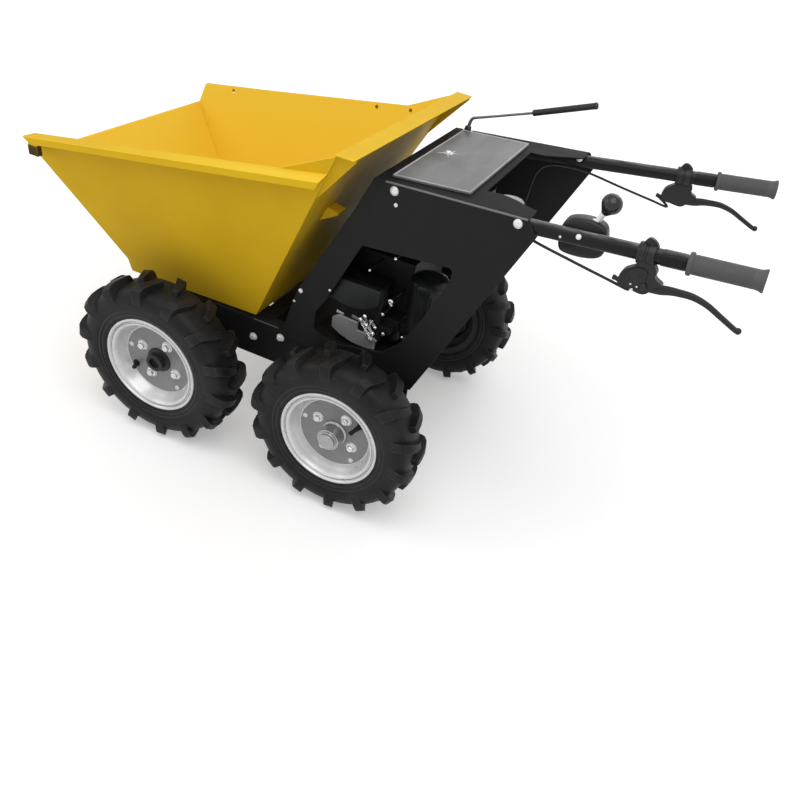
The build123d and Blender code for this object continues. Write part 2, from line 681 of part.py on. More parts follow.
grip_start_x = handle_end_x + grip_length
bracket_x = grip_start_x + bracket_gap
shifter_x = deck_rear_x + (bracket_x - deck_rear_x) * shifter_place
tube = rod(handle_point(handle_front_x), handle_point(handle_end_x + 6), handle_tube_radius,
           handle_tube_radius - handle_tube_wall)
write(tube, "handle_tube_left")
write(mirrored(tube), "handle_tube_right")
with BuildPart() as grip:
    # along the grip: (start, end, radius)
    for start_x, end_x, radius in ((grip_start_x, handle_end_x, grip_radius),
                                   (grip_start_x, grip_start_x - 8, grip_radius + grip_collar),
                                   (handle_end_x + 10, handle_end_x, grip_radius + grip_collar)):
        add(rod(handle_point(start_x), handle_point(end_x), radius))
    add(rod(handle_point(grip_start_x + 1), handle_point(handle_end_x + 6), handle_tube_radius + seat_gap),
        mode=Mode.SUBTRACT)
write(grip.part, "grip_left")
write(mirrored(grip.part), "grip_right")

# brake lever: a clamp on the tube with its body below, and a curved lever along the grip
clamp = Vector(*handle_point(bracket_x))
lever_plane = Plane(origin=(bracket_x, clamp.Y + lever_offset, clamp.Z), x_dir=(-1, body_splay, 0),
                    z_dir=(body_splay, 1, 0))
body_drop = 52.0                         # from the tube's centre to the lever's pivot
with BuildPart() as lever_body:
    add(rod(handle_point(bracket_x + 16), handle_point(bracket_x - 16), handle_tube_radius + 6))
    with BuildSketch(lever_plane.offset(-lever_offset)):
        # along the handle and up from the tube's centre
        with BuildLine():
            Polyline((-12, -10), (-28, -38), (-28, -68), (12, -70), (26, -64), (26, -20), (14, -8), close=True)
        make_face()
    extrude(amount=lever_offset * 2)
    add(rod(handle_point(bracket_x + 30), handle_point(bracket_x - 30), handle_tube_radius + seat_gap),
        mode=Mode.SUBTRACT)
write(joined(lever_body.part, mirrored(lever_body.part)), "brake_brackets")

lever_route = [(26 + seat_gap, -body_drop), (36, -body_drop), (56, -46), (98, -44), (144, -50), (192, -68)]
with BuildPart() as lever:
    with BuildSketch(lever_plane.offset(-lever_thickness / 2)):
        with BuildLine() as lever_line:
            FilletPolyline(*lever_route, radius=(14, 40, 80, 60))
        trace(lever_line.line, line_width=lever_width)
        with Locations(lever_route[-1]):
            Circle(lever_width * 0.7)
    extrude(amount=lever_thickness)
write(joined(lever.part, mirrored(lever.part)), "brake_levers")

cable_start = lever_plane.from_local_coords((-28 - seat_gap, -62, 0))
cable_points = [(cable_start.X, cable_start.Y, cable_start.Z), (shifter_x - 10, 252, deck_front_z - 19),
                (deck_rear_x - 37, 243, deck_front_z - 10), (deck_rear_x + 23, 220, deck_front_z - 32),
                (-262, 200, 648), (-236, 190, 568), (-214, 180, 488), (-194, 168, 408), (-178, 154, 338),
                (-168, 140, 284), (rail_rear_x + 10 - seat_gap, 140, 284)]


def cable_radii(points):
    """The largest bend at each corner that its two runs allow."""
    radii = []
    for before, corner, after in zip(points, points[1:], points[2:]):
        run_in, run_out = Vector(*corner) - Vector(*before), Vector(*after) - Vector(*corner)
        turn = radians(run_in.get_angle(run_out))
        radii.append(0.45 * min(run_in.length, run_out.length) * cos(turn / 2) / sin(turn / 2))
    return radii


print("cable radii", [round(r) for r in cable_radii(cable_points)])
with BuildPart() as cable:
    with BuildLine() as cable_line:
        FilletPolyline(*cable_points, radius=cable_radii(cable_points))
    start = Plane(origin=cable_points[0], z_dir=Vector(*cable_points[1]) - Vector(*cable_points[0]))
    with BuildSketch(start):
        Circle(cable_radius)
    sweep(path=cable_line.line)
cable_length = sum(edge.length for edge in cable_line.edges())
print("cable volume over section times length", cable.part.volume / (pi * cable_radius ** 2 * cable_length))
write(joined(cable.part, mirrored(cable.part)), "brake_cables")

# gear shifter on the left tube's inner side: two moulded halves, a stem and a knob
shifter_at = Vector(*handle_point(shifter_x))
shifter_face_y = shifter_at.Y - handle_tube_radius - 3.8
shifter_depth = 36.0
with BuildPart() as housing:
    # the halves above and below the tube's centre: (width, foot, top)
    for width, foot, top in ((92, -52, -4), (80, -8, 20)):
        with BuildSketch(Plane.XZ.offset(-shifter_face_y)):
            with Locations((shifter_x, shifter_at.Z + (foot + top) / 2)):
                RectangleRounded(width, top - foot, 10)
        extrude(amount=shifter_depth)
write(housing.part, "shifter_housing")
stem_foot = Vector(shifter_x - 14, shifter_face_y - 14, shifter_at.Z + 20 + seat_gap + 2)
stem_radius, stem_length, knob_radius = 5.0, 26.0, 19.5
with BuildPart() as shifter:
    with BuildSketch(Plane(origin=stem_foot, x_dir=(0, 1, 0), z_dir=(1, 0, 0.4))):
        # stem and knob in half section: (radius, height above the stem's foot)
        knob_centre = stem_length + knob_radius
        turns = [radians(angle) for angle in (-65, -35, -5, 25, 55)]
        with BuildLine():
            Polyline((0, 0), (stem_radius, 0), (stem_radius, stem_length - 8), (stem_radius + 3, stem_length - 8),
                     *[(knob_radius * cos(t), knob_centre + knob_radius * sin(t)) for t in turns],
                     (0, knob_centre + knob_radius), close=True)
        make_face()
    revolve(axis=Axis(stem_foot, (-0.4, 0, 1)))
write(shifter.part, "shifter_lever")

# skip release lever on the deck's far front corner, behind the tray
release_y = -204.0
release_foot = Vector(-46.5, release_y, deck_z(-46.5))
release_points = [release_foot + Vector(*step) for step in ((0, 0, release_bush_height * 0.5), (-5.5, 0, 32.74),
                                                            (-143.5, 0, 83.74), (-276.5, 0, 136.74))]
with BuildPart() as release:
    with BuildLine() as release_line:
        FilletPolyline(*release_points[:3], radius=10)
    with BuildSketch(Plane(origin=release_points[0], z_dir=Vector(*release_points[1]) - release_points[0])):
        Circle(release_rod_radius)
    sweep(path=release_line.line)
    add(rod(release_points[2], release_points[3], release_rod_radius))
    add(rod(release_foot + Vector(0, 0, 0.9), release_foot + Vector(0, 0, release_bush_height),
            release_bush_radius))
write(release.part, "release_lever")
with BuildPart() as sleeve:
    sleeve_run = Vector(*release_points[3]) - Vector(*release_points[2])
    add(rod(Vector(*release_points[2]) + sleeve_run * 0.06, Vector(*release_points[3]) + sleeve_run * 0.03,
            release_bush_radius))
    add(rod(release_points[2], release_points[3], release_rod_radius + seat_gap), mode=Mode.SUBTRACT)
write(sleeve.part, "release_grip")
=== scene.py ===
"""Looks of a walk-behind four-wheel mini dumper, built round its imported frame.

+X points forward, +Y left and +Z up, and the ground is z = 0. Each sub-assembly is a class with its sizes as fields,
in millimetres, and Form.piece turns the finished mesh into metres. The studio is in metres. The finishes are small
frozen dataclasses that grow their own node materials.
"""

import json
import logging
import math
from dataclasses import dataclass, field, replace
from enum import Enum
from typing import Iterable, Optional, Sequence

import bmesh
import bpy
from mathutils import Matrix, Vector

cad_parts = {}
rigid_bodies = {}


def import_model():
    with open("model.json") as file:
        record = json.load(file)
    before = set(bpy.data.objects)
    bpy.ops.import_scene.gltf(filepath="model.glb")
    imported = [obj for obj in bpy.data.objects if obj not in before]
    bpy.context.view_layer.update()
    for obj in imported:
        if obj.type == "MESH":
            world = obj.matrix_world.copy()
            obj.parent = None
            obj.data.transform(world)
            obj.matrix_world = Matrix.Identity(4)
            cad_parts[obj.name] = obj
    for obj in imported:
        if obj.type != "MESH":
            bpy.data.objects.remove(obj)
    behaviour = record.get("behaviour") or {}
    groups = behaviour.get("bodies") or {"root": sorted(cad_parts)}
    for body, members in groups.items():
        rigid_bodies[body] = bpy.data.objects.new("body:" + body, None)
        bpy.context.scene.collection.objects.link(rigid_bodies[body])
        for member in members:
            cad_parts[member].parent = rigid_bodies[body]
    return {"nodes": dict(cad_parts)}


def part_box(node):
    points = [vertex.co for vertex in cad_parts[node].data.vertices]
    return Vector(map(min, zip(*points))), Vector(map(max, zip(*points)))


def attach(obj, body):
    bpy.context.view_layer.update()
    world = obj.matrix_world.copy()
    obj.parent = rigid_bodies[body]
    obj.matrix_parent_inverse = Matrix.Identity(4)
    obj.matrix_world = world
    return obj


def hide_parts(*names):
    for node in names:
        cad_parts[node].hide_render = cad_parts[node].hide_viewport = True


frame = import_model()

LOG = logging.getLogger("mini_dumper")
Pair = tuple[float, float]
Triple = tuple[float, float, float]
Colour = Triple
Outline = tuple[Pair, ...]
Socket = bpy.types.NodeSocket
MM = 0.001
# the least radius of a turned shape: its points still count as separate ones
TIP = 0.01
UP = Vector((0, 0, 1))
OUT = Vector((0, 1, 0))
# a place whose X and Y are the machine's X and Z
SIDE_VIEW = Matrix(((1, 0, 0, 0), (0, 0, 1, 0), (0, 1, 0, 0), (0, 0, 0, 1)))


class Side(Enum):
    """Left or right of the machine, as a sign along Y."""

    LEFT = 1
    RIGHT = -1

    @property
    def word(self) -> str:
        """The side as the names of nodes and pieces say it."""
        return self.name.lower()

    def at(self, x: float, y: float, z: float) -> Vector:
        """A point of the left side, brought to this side."""
        return Vector((x, self.value * y, z))


class End(Enum):
    """The front or the rear axle."""

    FRONT = "front"
    REAR = "rear"


# ------------------------------------------------------------------------------------------ finishes
class NodeBench:
    """The node tree of a material or a world, with short calls for the nodes that the finishes share."""

    def __init__(self, owner: bpy.types.ID) -> None:
        """Take a new material or world.

        Args:
            owner: the material or the world.
        """
        owner.use_nodes = True
        self.owner = owner
        self.tree = owner.node_tree
        self.shader = self.tree.nodes.get("Principled BSDF") or self.tree.nodes["Background"]
        self.place = self.node("TexCoord", "Object")

    def feed(self, socket: Socket, value: object) -> None:
        """Set or link a socket.

        Args:
            socket: the input.
            value: a number, a colour, a vector or a socket.
        """
        if isinstance(value, Socket):
            self.tree.links.new(value, socket)
        else:
            socket.default_value = (*value, 1.0) if socket.type == "RGBA" else value

    def node(self, kind: str, output: str | int, inputs: Optional[dict[str | int, object]] = None,
             **settings: str) -> Socket:
        """Add a node.

        Args:
            kind: its type.
            output: the output that is wanted.
            inputs: what goes into its inputs.
            settings: its properties.

        Returns:
            The output.
        """
        node = self.tree.nodes.new("ShaderNode" + kind)
        for name, value in settings.items():
            setattr(node, name, value)
        for key, value in (inputs or {}).items():
            self.feed(node.inputs[key], value)
        return node.outputs[output]

    def stretched(self, scale: Triple) -> Socket:
        """Coordinates scaled by axis, for a grain that runs one way."""
        return self.node("Mapping", "Vector", {"Vector": self.place, "Scale": scale})

    def noise(self, per_metre: float, detail: float = 3.0, rough: float = 0.55,
              place: Optional[Socket] = None) -> Socket:
        """Cloudy noise, by its cells in a metre, its octaves and how strong the finer ones are."""
        return self.node("TexNoise", "Fac", {"Scale": per_metre, "Detail": detail, "Roughness": rough,
                                             "Vector": place or self.place})

    def mapped(self, value: Socket, source: Pair = (0.0, 1.0), target: Pair = (0.0, 1.0)) -> Socket:
        """A value moved from one range to another, and held there."""
        return self.node("MapRange", "Result", {"Value": value, "From Min": source[0], "From Max": source[1],
                                                "To Min": target[0], "To Max": target[1]})

    def joined(self, operation: str, first: Socket, second: Socket) -> Socket:
        """Two values put through an operation."""
        return self.node("Math", "Value", {0: first, 1: second}, operation=operation)

    def times(self, first: Socket, second: Socket) -> Socket:
        """Product of two values."""
        return self.joined("MULTIPLY", first, second)

    def seen(self) -> Socket:
        """1 for the rays of the camera, of mirrors and of glass, and 0 for those that only carry light."""
        camera, mirror, glass = (self.node("LightPath", f"Is {ray} Ray")
                                 for ray in ("Camera", "Glossy", "Transmission"))
        return self.joined("MAXIMUM", self.joined("MAXIMUM", camera, mirror), glass)

    def facing_up(self) -> Socket:
        """How far the surface faces the sky, from 0 to 1."""
        normal = self.node("NewGeometry", "Normal")
        return self.mapped(self.node("SeparateXYZ", "Z", {"Vector": normal}), (0.2, 1.0))

    def own_facing(self, way: Triple, source: Pair) -> Socket:
        """How far the surface faces a way of the piece's own, from 0 to 1 between two cosines."""
        sockets = {0: self.node("TexCoord", "Normal"), 1: Vector(way).normalized()}
        return self.mapped(self.node("VectorMath", "Value", sockets, operation="DOT_PRODUCT"), source)

    def blended(self, share: Socket, low: object, high: object) -> Socket:
        """Two colours, or sockets of colours, mixed by a share."""
        return self.node("Mix", 2, {0: share, 6: low, 7: high}, data_type="RGBA")

    def bumped(self, layers: Iterable[tuple[Socket, float, float]]) -> None:
        """Chain bumps into the shader's normal.

        Args:
            layers: (height, strength, depth in metres) of each layer.
        """
        chain = {}
        for height, strength, depth in layers:
            chain = {"Normal": self.node("Bump", "Normal", {"Strength": strength, "Distance": depth, "Height": height,
                                                            **chain})}
        self.drive(**chain)

    def coat(self) -> Socket:
        """What colours the shader so far."""
        return self.shader.inputs["Base Color"].links[0].from_socket

    def drive(self, **sockets: object) -> None:
        """Feed sockets of the shader; an underscore in a name stands for a space."""
        for name, value in sockets.items():
            self.feed(self.shader.inputs[name.replace("_", " ")], value)


def toned(colour: Colour, factor: float) -> Colour:
    """A colour made lighter or darker."""
    return tuple(min(1.0, part * factor) for part in colour)


def placed(name: str, data: bpy.types.ID) -> bpy.types.Object:
    """A new object of the scene.

    Args:
        name: its name.
        data: its mesh, lamp or camera.

    Returns:
        The object.
    """
    made = bpy.data.objects.new(name, data)
    bpy.context.scene.collection.objects.link(made)
    return made


@dataclass(frozen=True)
class Finish:
    """What every finish shares. Subclasses say how the surface grows."""

    name: str
    slot: str
    colour: Colour
    roughness: float
    metallic: float = 0.0
    specular: float = 0.3
    refraction: float = 1.45

    def material(self) -> bpy.types.Material:
        """The finish's material, made once.

        Returns:
            The material.
        """
        found = bpy.data.materials.get(self.name)
        if found:
            return found
        bench = NodeBench(bpy.data.materials.new(self.name))
        bench.drive(Metallic=self.metallic, Specular_IOR_Level=self.specular, IOR=self.refraction)
        self.grow(bench)
        return bench.owner

    def grow(self, bench: NodeBench) -> None:
        """Build the nodes."""
        raise NotImplementedError

    def uneven(self, bench: NodeBench, value: Socket, span: Pair, less: float, more: float) -> Socket:
        """A roughness that follows a value, from less than the finish's own to more than it."""
        return bench.mapped(value, span, (self.roughness - less, self.roughness + more))

    def mottled(self, bench: NodeBench, value: Socket, span: Pair, low: float, high: float) -> Socket:
        """The finish's colour in two tones that follow a value."""
        return bench.blended(bench.mapped(value, span), toned(self.colour, low), toned(self.colour, high))

    def worn(self) -> "Finish":
        """The same finish as it shows along a rubbed edge."""
        return replace(self, name=self.name + "_edge", colour=toned(self.colour, 1.25),
                       roughness=min(1.0, self.roughness + 0.08))


@dataclass(frozen=True)
class PowderCoat(Finish):
    """Sprayed and baked coat: fine orange peel over slightly wavy sheet, with settled dust and rub marks."""

    dust: Colour = (0.42, 0.38, 0.32)
    dust_share: float = 0.05
    wave: float = 0.0012
    rub: float = 0.05

    def grow(self, bench: NodeBench) -> None:
        """Build the nodes.

        Args:
            bench: the material's nodes.
        """
        peel = bench.noise(620.0, 2.0, 0.4)
        streak = bench.noise(1.0, 5.0, 0.7, bench.stretched((18.0, 30.0, 160.0)))
        blotch = bench.mapped(bench.noise(22.0, 5.0, 0.65), (0.42, 0.72))
        base = self.mottled(bench, bench.noise(5.0, 4.0), (0.3, 0.7), 0.93, 1.05)
        rubbed = bench.blended(bench.mapped(streak, (0.60, 0.78), (0.0, self.rub)), base, toned(self.colour, 1.5))
        dusty = bench.mapped(bench.times(bench.facing_up(), blotch), target=(0.0, self.dust_share))
        bench.drive(Base_Color=bench.blended(dusty, rubbed, self.dust),
                    Roughness=self.uneven(bench, blotch, (0.0, 1.0), 0.04, 0.09))
        bench.bumped([(bench.noise(7.0, 2.0), 0.5, self.wave), (peel, 0.16, 0.0003), (streak, 0.05, 0.0003)])


@dataclass(frozen=True)
class SkipCoat(PowderCoat):
    """The skip's coat: paler on the inner walls as painted light, and darker in blotches on the wall that faces the
    engine as painted shade.
    """

    # painted light: the paler yellow of the inner walls
    scoured: Colour = (0.92, 0.63, 0.055)
    # painted shade: the dark of the rear wall's outer face
    soot: Colour = (0.030, 0.024, 0.014)

    def grow(self, bench: NodeBench) -> None:
        """Build the nodes.

        Args:
            bench: the material's nodes.
        """
        super().grow(bench)
        # painted light: faces that tilt upwards, short of the flat floor, are mixed towards the paler yellow
        inside = bench.times(bench.own_facing((0, 0, 1), (0.14, 0.24)), bench.own_facing((0, 0, -1), (-0.97, -0.9)))
        lit_inner_coat = bench.blended(bench.mapped(inside, target=(0.0, 0.85)), bench.coat(), self.scoured)
        # painted shade: blotchy darkening of the faces that look rearwards and down, which is the rear wall's outer
        # face
        blotch = bench.mapped(bench.noise(9.0, 5.0, 0.6), (0.30, 0.70), (0.04, 0.22))
        rear_shade_share = bench.times(bench.own_facing((-0.9, 0, -0.43), (0.72, 0.93)), blotch)
        bench.drive(Base_Color=bench.blended(rear_shade_share, lit_inner_coat, self.soot))


@dataclass(frozen=True)
class RubbedTube(PowderCoat):
    """Black tube coat with a painted highlight: bright streaks along its top."""

    bare: Colour = (0.24, 0.24, 0.245)

    def grow(self, bench: NodeBench) -> None:
        """Build the nodes.

        Args:
            bench: the material's nodes.
        """
        super().grow(bench)
        # painted highlight: lighter grey streaks on the faces that look upwards
        streak = bench.noise(1.0, 4.0, 0.65, bench.stretched((11.0, 150.0, 150.0)))
        top = bench.own_facing((0.1, 0, 1), (0.70, 0.95))
        share = bench.times(top, bench.mapped(streak, (0.38, 0.62), (0.1, 0.75)))
        bench.drive(Base_Color=bench.blended(share, bench.coat(), self.bare))


@dataclass(frozen=True)
class ScuffedSheet(Finish):
    """Bare or thinly painted sheet with long scratches both ways, smears and worn patches."""

    scratch: Colour = (0.6, 0.6, 0.6)

    def grow(self, bench: NodeBench) -> None:
        """Build the nodes.

        Args:
            bench: the material's nodes.
        """
        along = bench.noise(1.0, 6.0, 0.75, bench.stretched((14.0, 420.0, 420.0)))
        across = bench.noise(1.0, 6.0, 0.75, bench.stretched((420.0, 16.0, 420.0)))
        patch = bench.noise(11.0, 5.0, 0.6)
        smear = bench.noise(1.0, 4.0, 0.6, bench.stretched((16.0, 5.0, 16.0)))
        coat = self.mottled(bench, patch, (0.35, 0.68), 0.82, 1.18)
        for value, span, most, colour in ((smear, (0.42, 0.62), 0.55, toned(self.colour, 1.55)),
                                          (along, (0.62, 0.72), 0.35, self.scratch),
                                          (across, (0.64, 0.72), 0.3, toned(self.colour, 0.6))):
            coat = bench.blended(bench.mapped(value, span, (0.0, most)), coat, colour)
        bench.drive(Base_Color=coat, Roughness=self.uneven(bench, patch, (0.3, 0.7), 0.1, 0.1))
        bench.bumped([(patch, 0.25, 0.0015), (along, 0.12, 0.0002), (across, 0.12, 0.0002)])


@dataclass(frozen=True)
class WheelPaint(Finish):
    """Silver wheel paint: fine flake, gentle waves and road film."""

    film: Colour = (0.16, 0.155, 0.15)

    def grow(self, bench: NodeBench) -> None:
        """Build the nodes.

        Args:
            bench: the material's nodes.
        """
        flake = bench.noise(1500.0, 1.0, 0.5)
        stain = bench.noise(26.0, 6.0, 0.62)
        base = self.mottled(bench, flake, (0.3, 0.7), 0.88, 1.1)
        bench.drive(Base_Color=bench.blended(bench.mapped(stain, (0.52, 0.78), (0.0, 0.3)), base, self.film),
                    Roughness=self.uneven(bench, stain, (0.3, 0.75), 0.05, 0.14))
        bench.bumped([(bench.noise(38.0, 3.0), 0.22, 0.0008), (flake, 0.08, 0.0001)])


@dataclass(frozen=True)
class MouldedRubber(Finish):
    """Vulcanised rubber: matt, finely pebbled, greyed where dust sits."""

    bloom: Colour = (0.105, 0.098, 0.09)
    bloom_share: float = 0.4

    def grow(self, bench: NodeBench) -> None:
        """Build the nodes.

        Args:
            bench: the material's nodes.
        """
        patch = bench.noise(14.0, 6.0, 0.62)
        grain = bench.noise(480.0, 4.0, 0.6)
        dusty = bench.times(patch, bench.mapped(grain, (0.2, 0.8), (0.7, 1.3)))
        greyed = bench.mapped(dusty, (0.42, 0.72), (0.0, self.bloom_share))
        bench.drive(Base_Color=bench.blended(greyed, self.colour, self.bloom),
                    Roughness=self.uneven(bench, patch, (0.3, 0.7), 0.1, 0.1))
        bench.bumped([(bench.noise(60.0, 4.0), 0.3, 0.0012), (grain, 0.35, 0.0004)])

    def worn(self) -> Finish:
        """The same rubber, paler along its rounded edges as a painted highlight."""
        return replace(self, name=self.name + "_edge", colour=toned(self.colour, 3.2), roughness=self.roughness - 0.06)


@dataclass(frozen=True)
class Casting(Finish):
    """Die-cast or painted casting: sandy skin with small pits and oily stains."""

    stain: Colour = (0.05, 0.045, 0.04)

    def grow(self, bench: NodeBench) -> None:
        """Build the nodes.

        Args:
            bench: the material's nodes.
        """
        skin = bench.noise(340.0, 5.0, 0.62)
        oil = bench.noise(19.0, 5.0, 0.6)
        base = self.mottled(bench, skin, (0.3, 0.7), 0.85, 1.12)
        bench.drive(Base_Color=bench.blended(bench.mapped(oil, (0.55, 0.75), (0.0, 0.45)), base, self.stain),
                    Roughness=self.uneven(bench, oil, (0.3, 0.7), -0.08, -0.1))
        bench.bumped([(skin, 0.4, 0.0006), (bench.noise(60.0, 2.0), 0.2, 0.0008)])


@dataclass(frozen=True)
class PlatedSteel(Finish):
    """Zinc-plated or turned steel: cloudy passivation with fine tool marks."""

    tint: Colour = (0.52, 0.5, 0.42)

    def grow(self, bench: NodeBench) -> None:
        """Build the nodes.

        Args:
            bench: the material's nodes.
        """
        cloud = bench.noise(75.0, 4.0, 0.6)
        marks = bench.noise(1.0, 4.0, 0.7, bench.stretched((700.0, 90.0, 700.0)))
        bench.drive(Base_Color=bench.blended(bench.mapped(cloud, (0.4, 0.7), (0.0, 0.5)), self.colour, self.tint),
                    Roughness=self.uneven(bench, cloud, (0.3, 0.7), 0.08, 0.12))
        bench.bumped([(marks, 0.18, 0.0001), (cloud, 0.1, 0.0004)])


@dataclass(frozen=True)
class Moulding(Finish):
    """Injection-moulded plastic or a plastic-coated casting, with a spark-eroded grain."""

    def grow(self, bench: NodeBench) -> None:
        """Build the nodes.

        Args:
            bench: the material's nodes.
        """
        haze = bench.noise(40.0, 5.0, 0.6)
        hazy = bench.blended(bench.mapped(haze, (0.45, 0.75), (0.0, 0.35)), self.colour, toned(self.colour, 1.9))
        bench.drive(Base_Color=hazy, Roughness=self.uneven(bench, haze, (0.3, 0.7), 0.07, 0.1))
        bench.bumped([(bench.noise(900.0, 2.0, 0.5), 0.3, 0.0002), (bench.noise(45.0, 2.0), 0.1, 0.0006)])


# the skip's coat paints light on its inner walls and shade on its rear wall
YELLOW = SkipCoat("skip_yellow_coat", "skip_yellow", (0.80, 0.495, 0.016), 0.52, specular=0.3, refraction=1.22,
                  dust_share=0.04)
DECK_BLACK = PowderCoat("deck_black_coat", "frame_black", (0.008, 0.008, 0.0085), 0.5, specular=0.2, refraction=1.22,
                        dust=(0.10, 0.097, 0.092), dust_share=0.10, rub=0.2)
BLACK = PowderCoat("frame_black_coat", "frame_black", (0.0125, 0.0125, 0.013), 0.46, specular=0.16,
                   dust=(0.12, 0.115, 0.11), dust_share=0.10, rub=0.2)
# painted highlight: a light grey for rounded edges that catch the light
EDGE_HIGHLIGHT = PowderCoat("body_fold_edge", "frame_black", (0.14, 0.14, 0.14), 0.35, specular=0.6, dust_share=0.05,
                       wave=0.0002)
# the handle tubes' coat, with a painted highlight along their tops
TUBE_BLACK = RubbedTube("tube_black_coat", "tube_black", (0.010, 0.010, 0.0105), 0.34, specular=0.2,
                        dust=(0.2, 0.19, 0.18), dust_share=0.06, rub=0.3, wave=0.0003)
TRAY = ScuffedSheet("tray_grey_sheet", "tray_grey", (0.165, 0.166, 0.168), 0.42, 0.3, 0.3)
# painted highlight: the lighter grey of the tray's raised border
TRAY_LIP_HIGHLIGHT = ScuffedSheet("tray_grey_lip", "tray_grey", (0.34, 0.34, 0.345), 0.36, 0.4, 0.4)
# painted light and shade: copies of one silver paint, darker on the disc, lighter on the mouth and bosses, near black
# on the barrel and inner side
WHEEL_SILVER_SHADED = WheelPaint("wheel_silver_paint", "wheel_silver", (0.25, 0.25, 0.252), 0.42, 0.3, 0.4)
WHEEL_SILVER_LIT = WheelPaint("wheel_silver_mouth", "wheel_silver", (0.70, 0.70, 0.70), 0.30, 0.35, 0.5)
WHEEL_SILVER_DARK_BACK = WheelPaint("wheel_silver_back", "wheel_silver", (0.035, 0.035, 0.036), 0.6, 0.1, 0.2,
                        film=(0.02, 0.02, 0.02))
TYRE = MouldedRubber("tyre_rubber_skin", "tyre_rubber", (0.0065, 0.0065, 0.007), 0.5, specular=0.22,
                     bloom=(0.075, 0.075, 0.078), bloom_share=0.25)
VALVE = MouldedRubber("valve_rubber_skin", "tyre_rubber", (0.008, 0.008, 0.008), 0.6, specular=0.2, bloom_share=0.1)
GRIP = MouldedRubber("grip_rubber_skin", "grip_rubber", (0.098, 0.098, 0.100), 0.6, specular=0.3, bloom_share=0.25)
# dark brown blocks wrapped round the tabs under the rim's front corners
DARK_TAB_BLOCK = MouldedRubber("rim_buffer_rubber", "tyre_rubber", (0.055, 0.034, 0.006), 0.7, specular=0.2,
                       bloom=(0.12, 0.075, 0.014))
HUB_STEEL = PlatedSteel("hub_turned_steel", "hub_steel", (0.40, 0.40, 0.405), 0.24, 0.8, tint=(0.30, 0.29, 0.27))
TAB_STEEL = PlatedSteel("deck_tab_steel", "zinc", (0.34, 0.34, 0.345), 0.42, 0.4, 0.3, tint=(0.22, 0.22, 0.21))
HUB_BLACK = PowderCoat("hub_black_coat", "hub_black", (0.014, 0.014, 0.014), 0.35, rub=0.2)
ENGINE_DARK = Casting("engine_dark_casting", "engine_dark", (0.010, 0.0105, 0.011), 0.5, specular=0.2)
ENGINE_BOX = Moulding("engine_box_moulding", "engine_dark", (0.013, 0.014, 0.0145), 0.34, specular=0.3)
ENGINE_SILVER = Casting("engine_silver_casting", "engine_silver", (0.42, 0.42, 0.425), 0.4, 0.35, 0.35,
                        stain=(0.16, 0.15, 0.14))
LEVER_BLACK = Moulding("lever_black_moulding", "lever_black", (0.014, 0.014, 0.015), 0.36, specular=0.35)
CABLE_BLACK = Moulding("cable_black_sheath", "cable_black", (0.014, 0.014, 0.014), 0.45)
KNOB_BLACK = Moulding("knob_black_moulding", "knob_black", (0.014, 0.014, 0.015), 0.2, specular=0.5)
ZINC = PlatedSteel("zinc_plate", "zinc", (0.74, 0.74, 0.75), 0.26, 0.7, 0.5)
BRIGHT_ZINC = PlatedSteel("zinc_plate_bright", "zinc", (0.88, 0.88, 0.88), 0.3, 0.25, 0.6, tint=(0.7, 0.7, 0.66))
POLISHED = PlatedSteel("zinc_plate_polished", "zinc", (0.97, 0.97, 0.97), 0.16, 0.75, 0.9, tint=(0.8, 0.8, 0.78))
DARK_ROD = PlatedSteel("dark_rod_steel", "zinc", (0.19, 0.19, 0.192), 0.34, 0.5, 0.5, tint=(0.07, 0.07, 0.068))


# ------------------------------------------------------------------------------------------ making meshes
def standing(origin: Vector, axis: Vector, turn: float = 0.0) -> Matrix:
    """A place whose own Z lies along an axis, turned about it by some degrees."""
    return (Matrix.Translation(origin) @ axis.to_track_quat("Z", "Y").to_matrix().to_4x4()
            @ Matrix.Rotation(math.radians(turn), 4, "Z"))


def circle(count: int) -> list[float]:
    """Angles evenly round a circle, in radians."""
    return [2 * math.pi * i / count for i in range(count)]


def heading(path: Sequence[Vector], i: int) -> Vector:
    """Direction of a path at one of its points."""
    return (path[min(i + 1, len(path) - 1)] - path[max(i - 1, 0)]).normalized()


def eased(points: Sequence[Vector], per_run: int = 6) -> list[Vector]:
    """Points along a smooth line through the given ones.

    Args:
        points: what the line passes through.
        per_run: steps between two of them.

    Returns:
        The line's points.
    """
    line = []
    padded = [points[0] * 2 - points[1], *points, points[-1] * 2 - points[-2]]
    for a, b, c, d in zip(padded, padded[1:], padded[2:], padded[3:]):
        for step in range(per_run):
            t = step / per_run
            line.append(0.5 * (2 * b + (c - a) * t + (2 * a - 5 * b + 4 * c - d) * t * t
                               + (3 * b - a - 3 * c + d) * t ** 3))
    return [*line, points[-1]]


def rounded(outline: Sequence[Pair]) -> list[Pair]:
    """An outline with its corners cut twice.

    Args:
        outline: its corners.

    Returns:
        The new corners.
    """
    for _ in range(2):
        cut = []
        for (u0, v0), (u1, v1) in zip(outline, [*outline[1:], outline[0]]):
            cut += [(u0 * 0.75 + u1 * 0.25, v0 * 0.75 + v1 * 0.25), (u0 * 0.25 + u1 * 0.75, v0 * 0.25 + v1 * 0.75)]
        outline = cut
    return outline


